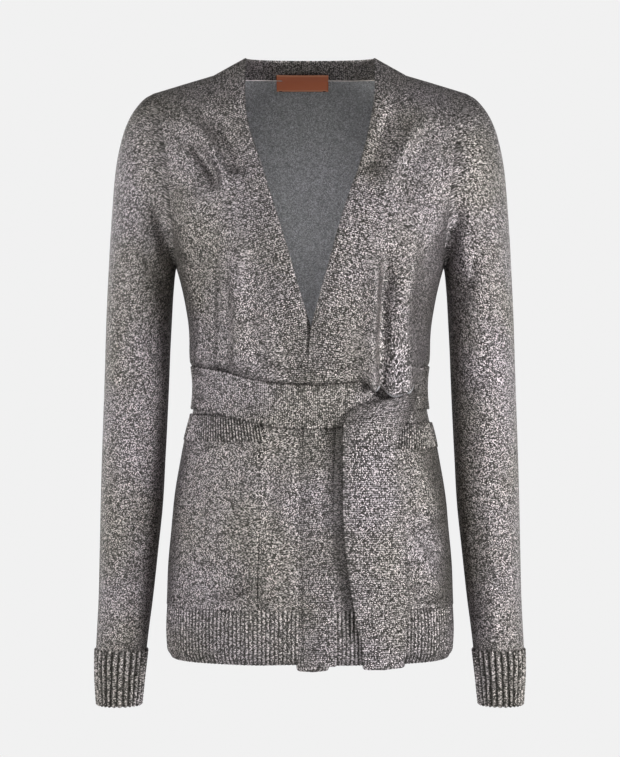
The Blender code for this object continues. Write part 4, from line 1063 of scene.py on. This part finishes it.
pocketLook = {"thickness": 1.2 * mm, "ease": 0.4 * mm, "trimPitch": 3.3 * mm, "trimHeight": 1.1 * mm,
              "lean": -0.20}
for side, grid, normal in (("right", right, rightNormal), ("left", left, leftNormal)):
    cut = pocketCut[side]
    heights = rowsOf[side]
    bottom = int(np.argmin(np.abs(heights - shape["hemSeam"])))
    bagRow = int(np.argmin(np.abs(heights - cut["bagTop"])))
    trimRow = int(np.argmin(np.abs(heights - cut["trimTop"])))
    columns = slice(3, shape["sideSpans"] + 1)
    bag, facing = grid[bottom:bagRow + 1, columns], normal[bottom:bagRow + 1, columns]
    rise = np.sin(np.linspace(0, math.pi, bag.shape[0]))[:,
                                                         None] * np.sin(np.linspace(0, math.pi, bag.shape[1]))
    bag = bag + facing * (pocketLook["ease"] + cut["belly"] * rise)[..., None]
    u, v = lengths(bag, 1), np.repeat(lengths(bag, 0).mean(axis=1)[:, None], bag.shape[1], axis=1)
    u = u + fromSeam(bag, u)
    wear(f"pocket{side.title()}", clothWall(bag + facing * pocketLook["thickness"], bag, u, v),
         [knitOut, reverseKnitWithPaintedLight],
         [f"pocket_{side}"], (0.14, 0.18), None, [f"front_{side}"])
    trim, facing = grid[bagRow:trimRow + 1, columns], normal[bagRow:trimRow + 1, columns]
    trim = trim + facing * pocketLook["ease"]
    places = np.linspace(0, trim.shape[0] - 1, 14)
    outer, base, turned, u, v = ribbed(trim, facing, places, pocketLook["trimPitch"],
                                       pocketLook["trimHeight"], 6,
                                       lean=pocketLook["lean"])
    thick = turned * pocketLook["thickness"]
    wear(f"pocketTrim{side.title()}", clothWall(outer + thick, base, u, v), [trimKnit, reverseKnitWithPaintedLight],
         [f"pocket_trim_{side}"], (0.125, 0.027), None, [f"front_{side}"])
print("pockets made")


# ---- belt

beltLook = {"ends": (0.056, 0.100), "crossing": -0.030, "half": 0.0225, "thickness": 2.2 * mm,
            "ease": 0.7 * mm,
            "pitch": 2.3 * mm, "height": 0.32 * mm, "perRib": 4, "across": 13, "flare": 3.0 * mm,
            "flareX": (-0.122, -0.040), "hollow": (0.073, -0.374, 6.0 * mm)}


# the belt lies on the plain waist, without the folds and the roll of the bodice above it
def waistPoint(x, side, z):
    y = depth(side, x, z) * (-1 if side == "front" else 1)
    return np.array([x, y, z])


def waistNormal(x, side, z):
    step = 0.4 * mm
    sideways = waistPoint(x + step, side, z) - waistPoint(x - step, side, z)
    upwards = waistPoint(x, side, z + step) - waistPoint(x, side, z - step)
    normal = unit(np.cross(sideways, upwards))
    return normal * (-np.sign(normal[1]) if side == "front" else np.sign(normal[1]))


def beltRoute():
    half = 2 / shape["roundness"]
    route = []
    for turn in np.linspace(-math.pi, math.pi, 721):
        # the turn is 0 at the front, +90 degrees at the left side
        side = "front" if abs(turn) <= math.pi / 2 else "back"
        sine = math.sin(turn)
        route.append((side, np.sign(sine) * abs(sine) ** half))
    return route


def beltSection(side, share, drop):
    z = blouse["beltHeight"]
    x = share * halfWidth(z) * 0.9999
    level = beltLevel(waistPoint(x, side, z)[1], side)
    z = level + drop
    x = np.clip(share, -0.9999, 0.9999) * halfWidth(z)
    return x, z


points, facings = [], []
drops = np.linspace(-beltLook["half"], beltLook["half"], beltLook["across"])
route = beltRoute()
start = next(i for i, (side, share) in enumerate(route) if side == "front" and share * 0.1266 > beltLook["ends"][1])
stop = next(i for i, (side, share) in enumerate(route) if side == "front" and share * 0.1266 > beltLook["ends"][0])
for side, share in route[start:-1] + route[:stop]:
    line, out = [], []
    for drop in drops:
        x, z = beltSection(side, share, drop)
        point = waistPoint(x, side, z)
        if abs(share) > 0.985:
            normal = unit(np.array([np.sign(share), 0.0, 0.0]) + unit(point * [1, 1, 0]) * 0.0001)
        else:
            normal = waistNormal(x, side, z)
        lift = beltLook["ease"]
        if side == "front" and x > beltLook["crossing"] and x < 0.05:
            lift += 0.3 * mm
        if side == "front" and drop < 0 and beltLook["flareX"][0] < x < beltLook["flareX"][1]:
            lift += beltLook["flare"] * (drop / -beltLook["half"])
        if side == "front":
            near = ((x - beltLook["hollow"][0]) / 0.011) ** 2 + ((z - beltLook["hollow"][1]) / 0.008) ** 2
            lift -= beltLook["hollow"][2] * math.exp(-near)
        line.append(point + normal * lift)
        out.append(normal)
    points.append(line)
    facings.append(out)
beltBase = np.array(points).transpose(1, 0, 2)
beltFacing = np.array(facings).transpose(1, 0, 2)
outer, base, facing, u, v = ribbed(beltBase, beltFacing, np.arange(beltLook["across"]), beltLook["pitch"],
                                   beltLook["height"], beltLook["perRib"])
wear("beltWrap", clothWall(outer + facing * beltLook["thickness"], base, u, v), [bandKnit, bandKnit],
     ["belt_wrap"],
     (0.68, 0.046), None, ["front_left", "front_right", "back"])

# a smooth map of the left front that the knot and the hanging ends lie on
mapX = np.arange(0.010, 0.1221, 0.001)
mapZ = np.arange(-0.700, -0.3199, 0.001)
lowRows = left[: below, :seamColumn + 6]
lowNormals = leftNormal[: below, :seamColumn + 6]
heightOf = lowRows[:, 20, 2]
byRow = np.array([[np.interp(mapX, row[::-1, 0], row[::-1, 1])] for row in lowRows])[:, 0]
frontMap = np.array([np.interp(mapZ, heightOf, byRow[:, i]) for i in range(len(mapX))]).T
plain = np.array([-depth("front", mapX, np.full_like(mapX, max(z, shape["hemBottom"]))) for z in mapZ])
frontMap = np.minimum(plain, np.where(mapZ[:, None] < -0.372, frontMap, plain))
for _ in range(6):
    padded = np.pad(frontMap, 2, mode="edge")
    frontMap = sum(padded[i:i + frontMap.shape[0],
                          j:j + frontMap.shape[1]] for i in range(5) for j in range(5)) / 25


def onFront(x, z, off):
    # points at a distance off the left front, for arrays of places
    i = np.clip((x - mapX[0]) / 0.001, 1, len(mapX) - 3)
    j = np.clip((z - mapZ[0]) / 0.001, 1, len(mapZ) - 3)

    def read(a, b):
        a0, b0 = np.floor(a).astype(int), np.floor(b).astype(int)
        s, t = a - a0, b - b0
        return (frontMap[b0, a0] * (1 - s) * (1 - t) + frontMap[b0, a0 + 1] * s * (1 - t)
                + frontMap[b0 + 1, a0] * (1 - s) * t + frontMap[b0 + 1, a0 + 1] * s * t)
    y = read(i, j)
    slopeX = (read(i + 1, j) - read(i - 1, j)) / 0.002
    slopeZ = (read(i, j + 1) - read(i, j - 1)) / 0.002
    normal = unit(np.stack([slopeX, -np.ones_like(y), slopeZ], axis=-1))
    return np.stack([x, y, z], axis=-1) + normal * off[..., None], normal


# hanging ends: both edges, how far the left edge, the middle and the right edge stand off
tailOver = table("z left right offLeft offMiddle offRight", [
    (-0.6270, 0.0515, 0.1010, 0.0072, 0.0085, 0.0065),
    (-0.6000, 0.0470, 0.1012, 0.0075, 0.0085, 0.0070),
    (-0.5600, 0.0405, 0.1005, 0.0080, 0.0082, 0.0062),
    (-0.5200, 0.0365, 0.0985, 0.0078, 0.0090, 0.0042),
    (-0.4800, 0.0348, 0.0950, 0.0080, 0.0098, 0.0048),
    (-0.4450, 0.0345, 0.0880, 0.0090, 0.0112, 0.0075),
    (-0.4200, 0.0345, 0.0862, 0.0100, 0.0135, 0.0100),
    (-0.4040, 0.0350, 0.0860, 0.0110, 0.0150, 0.0115),
])
tailUnder = table("z left right offLeft offMiddle offRight", [
    (-0.6600, 0.0560, 0.0985, 0.0030, 0.0040, 0.0030),
    (-0.6200, 0.0545, 0.0980, 0.0032, 0.0044, 0.0030),
    (-0.5700, 0.0510, 0.0960, 0.0036, 0.0046, 0.0034),
    (-0.5200, 0.0480, 0.0930, 0.0036, 0.0048, 0.0034),
    (-0.4700, 0.0460, 0.0890, 0.0038, 0.0050, 0.0038),
    (-0.4130, 0.0450, 0.0840, 0.0044, 0.0054, 0.0044),
])
tailLook = {"columns": 25, "pitch": 2.3 * mm, "perRib": 4, "height": 0.30 * mm, "thickness": 1.8 * mm,
            "slantOver": 0.010, "slantUnder": 0.001, "round": 3.5 * mm}


def tailWall(rows, slant):
    z0, z1 = rows["z"][0], rows["z"][-1]
    ribs = round((z1 - z0) / tailLook["pitch"])
    zs = np.linspace(z0, z1, ribs * tailLook["perRib"] + 1)
    t = np.linspace(0, 1, tailLook["columns"])[None, :]
    leftX, rightX = smooth(zs, rows["z"], rows["left"])[:, None], smooth(zs, rows["z"], rows["right"])[:,
                                                                                                       None]
    inset = roundedEnd(zs - z0, tailLook["round"])[:, None]
    x = leftX + inset + (rightX - leftX - 2 * inset) * t
    z = zs[:, None] + slant * t * easeIn(zs, z0 + 0.05, z0)[:, None]
    offs = [smooth(zs, rows["z"], rows[name])[:, None] for name in ("offLeft", "offMiddle", "offRight")]
    off = offs[0] * (1 - t) * (1 - 2 * t) + offs[1] * 4 * t * (1 - t) + offs[2] * t * (2 * t - 1)
    base, facing = onFront(x, z, off)
    k = np.arange(len(zs))
    crest = 0.5 + 0.5 * np.cos(2 * math.pi * k / tailLook["perRib"])
    outer = base + facing * (tailLook["thickness"] + tailLook["height"] * crest[:, None])[..., None]
    u = np.repeat((k / tailLook["perRib"] * tailLook["pitch"])[:, None], x.shape[1], axis=1)
    v = (x - leftX)
    return clothWall(outer, base, u, v)


wear("beltTailOver", tailWall(tailOver, tailLook["slantOver"]), [bandKnit, bandKnit], ["belt_tail_over"],
     (0.056, 0.23), None, ["belt_knot"])
wear("beltTailUnder", tailWall(tailUnder, tailLook["slantUnder"]), [bandKnit, bandKnit], ["belt_tail_under"],
     (0.044, 0.25), None, ["belt_knot"])

# the knot: patches of belt between rows of control points, each with its distance off the front
knotTurn = table("x z off", [
    (0.0342, -0.4200, 0.0125), (0.0500, -0.4215, 0.0158), (0.0700, -0.4215, 0.0168),
    (0.0866, -0.4200, 0.0118),
    (0.0335, -0.3960, 0.0060), (0.0530, -0.3960, 0.0180), (0.0740, -0.3990, 0.0240),
    (0.0930, -0.4020, 0.0075),
    (0.0420, -0.3760, 0.0045), (0.0620, -0.3780, 0.0110), (0.0860, -0.3840, 0.0250),
    (0.1080, -0.3890, 0.0060),
    (0.0760, -0.3800, 0.0030), (0.0860, -0.3740, 0.0110), (0.0980, -0.3680, 0.0130),
    (0.1110, -0.3650, 0.0040),
])


def patchWall(rows, thick, ribsAcross, alongU):
    count = ribsAcross * 4 + 1
    s = np.linspace(0, 1, count)
    weights = np.stack([(1 - s) ** 3, 3 * s * (1 - s) ** 2, 3 * s**2 * (1 - s), s**3], axis=-1)
    net = {name: rows[name].reshape(4, 4) for name in rows}
    x, z, off = (weights @ net[name] @ weights.T for name in ("x", "z", "off"))
    base, _ = onFront(x, z, off)
    facing = gridNormals(base)
    facing = facing * -np.sign(facing[count // 2, count // 2, 1])
    k = np.arange(count)
    crest = 0.5 + 0.5 * np.cos(2 * math.pi * k / 4)
    crest = crest[:, None] * np.ones(count) if alongU == "rows" else crest[None, :] * np.ones((count, 1))
    outer = base + facing * (thick + tailLook["height"] * crest)[..., None]
    ribU = k / 4 * tailLook["pitch"]
    u = np.repeat(ribU[:, None], count, axis=1) if alongU == "rows" else np.repeat(ribU[None, :], count,
                                                                                   axis=0)
    v = lengths(base, 1 if alongU == "rows" else 0)
    return clothWall(outer, base, u, v)


knotWall = patchWall(knotTurn, 1.8 * mm, 26, "rows")
wear("beltKnot", knotWall, [bandKnit, bandKnit], ["belt_knot"], (0.056, 0.10), None,
     ["belt_wrap"])
print("belt made")


# ---- label

labelSize = {"x": (-0.0375, 0.0205), "z": (-0.0275, -0.0105), "thickness": 0.6 * mm, "gap": 0.7 * mm,
             "columns": 40, "rows": 16, "lean": 0.66, "leanFrom": -0.0165, "sag": 0.9 * mm,
             "tack": (3.2 * mm, 0.5 * mm, 0.7 * mm)}
centre = back.shape[1] // 2
centreZ = back[below:, centre, 2]
xs = np.linspace(*labelSize["x"], labelSize["columns"])
lines = []
for z in np.linspace(*labelSize["z"], labelSize["rows"]):
    row = np.clip(np.searchsorted(centreZ, min(z, shape["backNeck"])) - 1, 0, len(centreZ) - 2)
    t = np.clip((z - centreZ[row]) / (centreZ[row + 1] - centreZ[row]), 0, 1)
    line = back[below + row] * (1 - t) + back[below + row + 1] * t
    ys = np.interp(xs, line[:, 0], line[:, 1]) - thickness - labelSize["gap"]
    ys = ys - labelSize["lean"] * max(0, z - labelSize["leanFrom"])
    sag = np.sin((xs - xs[0]) / (xs[-1] - xs[0]) * math.pi)
    lines.append(np.stack([xs, ys - labelSize["sag"] * sag, np.full(len(xs), z)], axis=-1))
labelBase = np.array(lines)
u = labelBase[..., 0] - xs.mean()
v = labelBase[..., 2] - sum(labelSize["z"]) / 2
parts = [clothWall(labelBase - [0, labelSize["thickness"], 0], labelBase, u, v)]
halfSize = np.array(labelSize["tack"]) / 2
for column in (3, -4):  # one short bar of dark thread at each lower corner
    corners = np.array([[a, b, c] for a in (-1, 1) for b in (-1, 1) for c in (-1, 1)]) * halfSize
    at = labelBase[0, column] + [0, -labelSize["thickness"], 0]
    sides = np.array([[0, 1, 3, 2], [4, 6, 7, 5], [0, 4, 5, 1], [2, 3, 7, 6], [0, 2, 6, 4], [1, 5, 7, 3]])
    parts.append((corners + at, sides, np.zeros((6, 4, 2)), np.full(6, 1)))
wear("neckLabel", joined(parts), [labelCloth, tackThread],
     ["neck_label"], (0.058, 0.016), None, ["back"])
print("label made")


# ---- studio

studio = {
    "cameraBack": 2.5, "cameraHeight": -0.352, "lens": 108.1,
    "ground": colour(0.879, 0.879, 0.879), "ambient": 0.17,
    "floorHeight": -2.2, "floorRadius": 3.0,
    "lights": [
        # name, place, size, watts
        ("keyLeft", (-2.30, -1.50, -0.20), 1.1, 44),
        ("keyRight", (2.35, -1.35, -0.25), 1.1, 58),
        ("frontFill", (0.1, -3.2, -0.10), 0.8, 4),
        ("topFill", (0.0, -1.3, 2.3), 1.4, 12),
        ("backLeft", (-2.1, 1.9, 0.0), 1.6, 15),
        ("backRight", (2.2, 1.7, -0.2), 1.6, 15),
        ("insideFill", (0.0, -0.035, -0.17), 0.09, 0.035),
    ],
}
scene = bpy.context.scene
camera = bpy.data.objects.new("camera", bpy.data.cameras.new("camera"))
scene.collection.objects.link(camera)
camera.location = (0, -studio["cameraBack"], studio["cameraHeight"])
camera.rotation_euler = (math.pi / 2, 0, 0)
camera.data.lens = studio["lens"]
camera.data.sensor_width = 36
camera.data.clip_start, camera.data.clip_end = 0.05, 50
scene.camera = camera

for name, place, size, watts in studio["lights"]:
    light = bpy.data.lights.new(name, "AREA")
    light.shape, light.size, light.energy = "SQUARE", size, watts
    lamp = bpy.data.objects.new(name, light)
    lamp.location = place
    aim = np.array([0, 0, -0.35]) - np.array(place)
    if name == "insideFill":  # lights the inside of the back, as when such a garment is photographed hollow
        aim = np.array([0, 1, -0.1])
        lamp.visible_camera = False
    lamp.rotation_euler = (math.acos(-aim[2] / np.linalg.norm(aim)), 0,
                           math.atan2(aim[1], aim[0]) - math.pi / 2)
    scene.collection.objects.link(lamp)

world = bpy.data.worlds.new("ground")
scene.world = world
world.use_nodes = True
sky = world.node_tree
background = sky.nodes["Background"]
background.inputs["Color"].default_value = studio["ground"]
seen = Wire(sky, None).node("ShaderNodeLightPath", {}, {}, "Is Camera Ray")
strength = studio["ambient"] + seen * (1 - studio["ambient"])
sky.links.new(strength.socket, background.inputs["Strength"])
scene.view_settings.view_transform = "Standard"

turns = np.linspace(0, 2 * math.pi, 96, endpoint=False)
ring = np.stack([np.cos(turns), np.sin(turns), np.zeros_like(turns)], axis=-1) * studio["floorRadius"]
floorMesh = bpy.data.meshes.new("floor")
floorMesh.from_pydata((ring + [0, 0, studio["floorHeight"]]).tolist(), [], [list(range(len(turns)))])
floor = bpy.data.objects.new("floor", floorMesh)
scene.collection.objects.link(floor)
floorPaint = bpy.data.materials.new("floorPaint")
floorPaint.use_nodes = True
floorPaint.node_tree.nodes["Principled BSDF"].inputs["Base Color"].default_value = colour(0.85, 0.85, 0.85)
floorPaint.node_tree.nodes["Principled BSDF"].inputs["Roughness"].default_value = 0.8
floorMesh.materials.append(floorPaint)
floor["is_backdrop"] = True
print("studio made")

low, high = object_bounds()
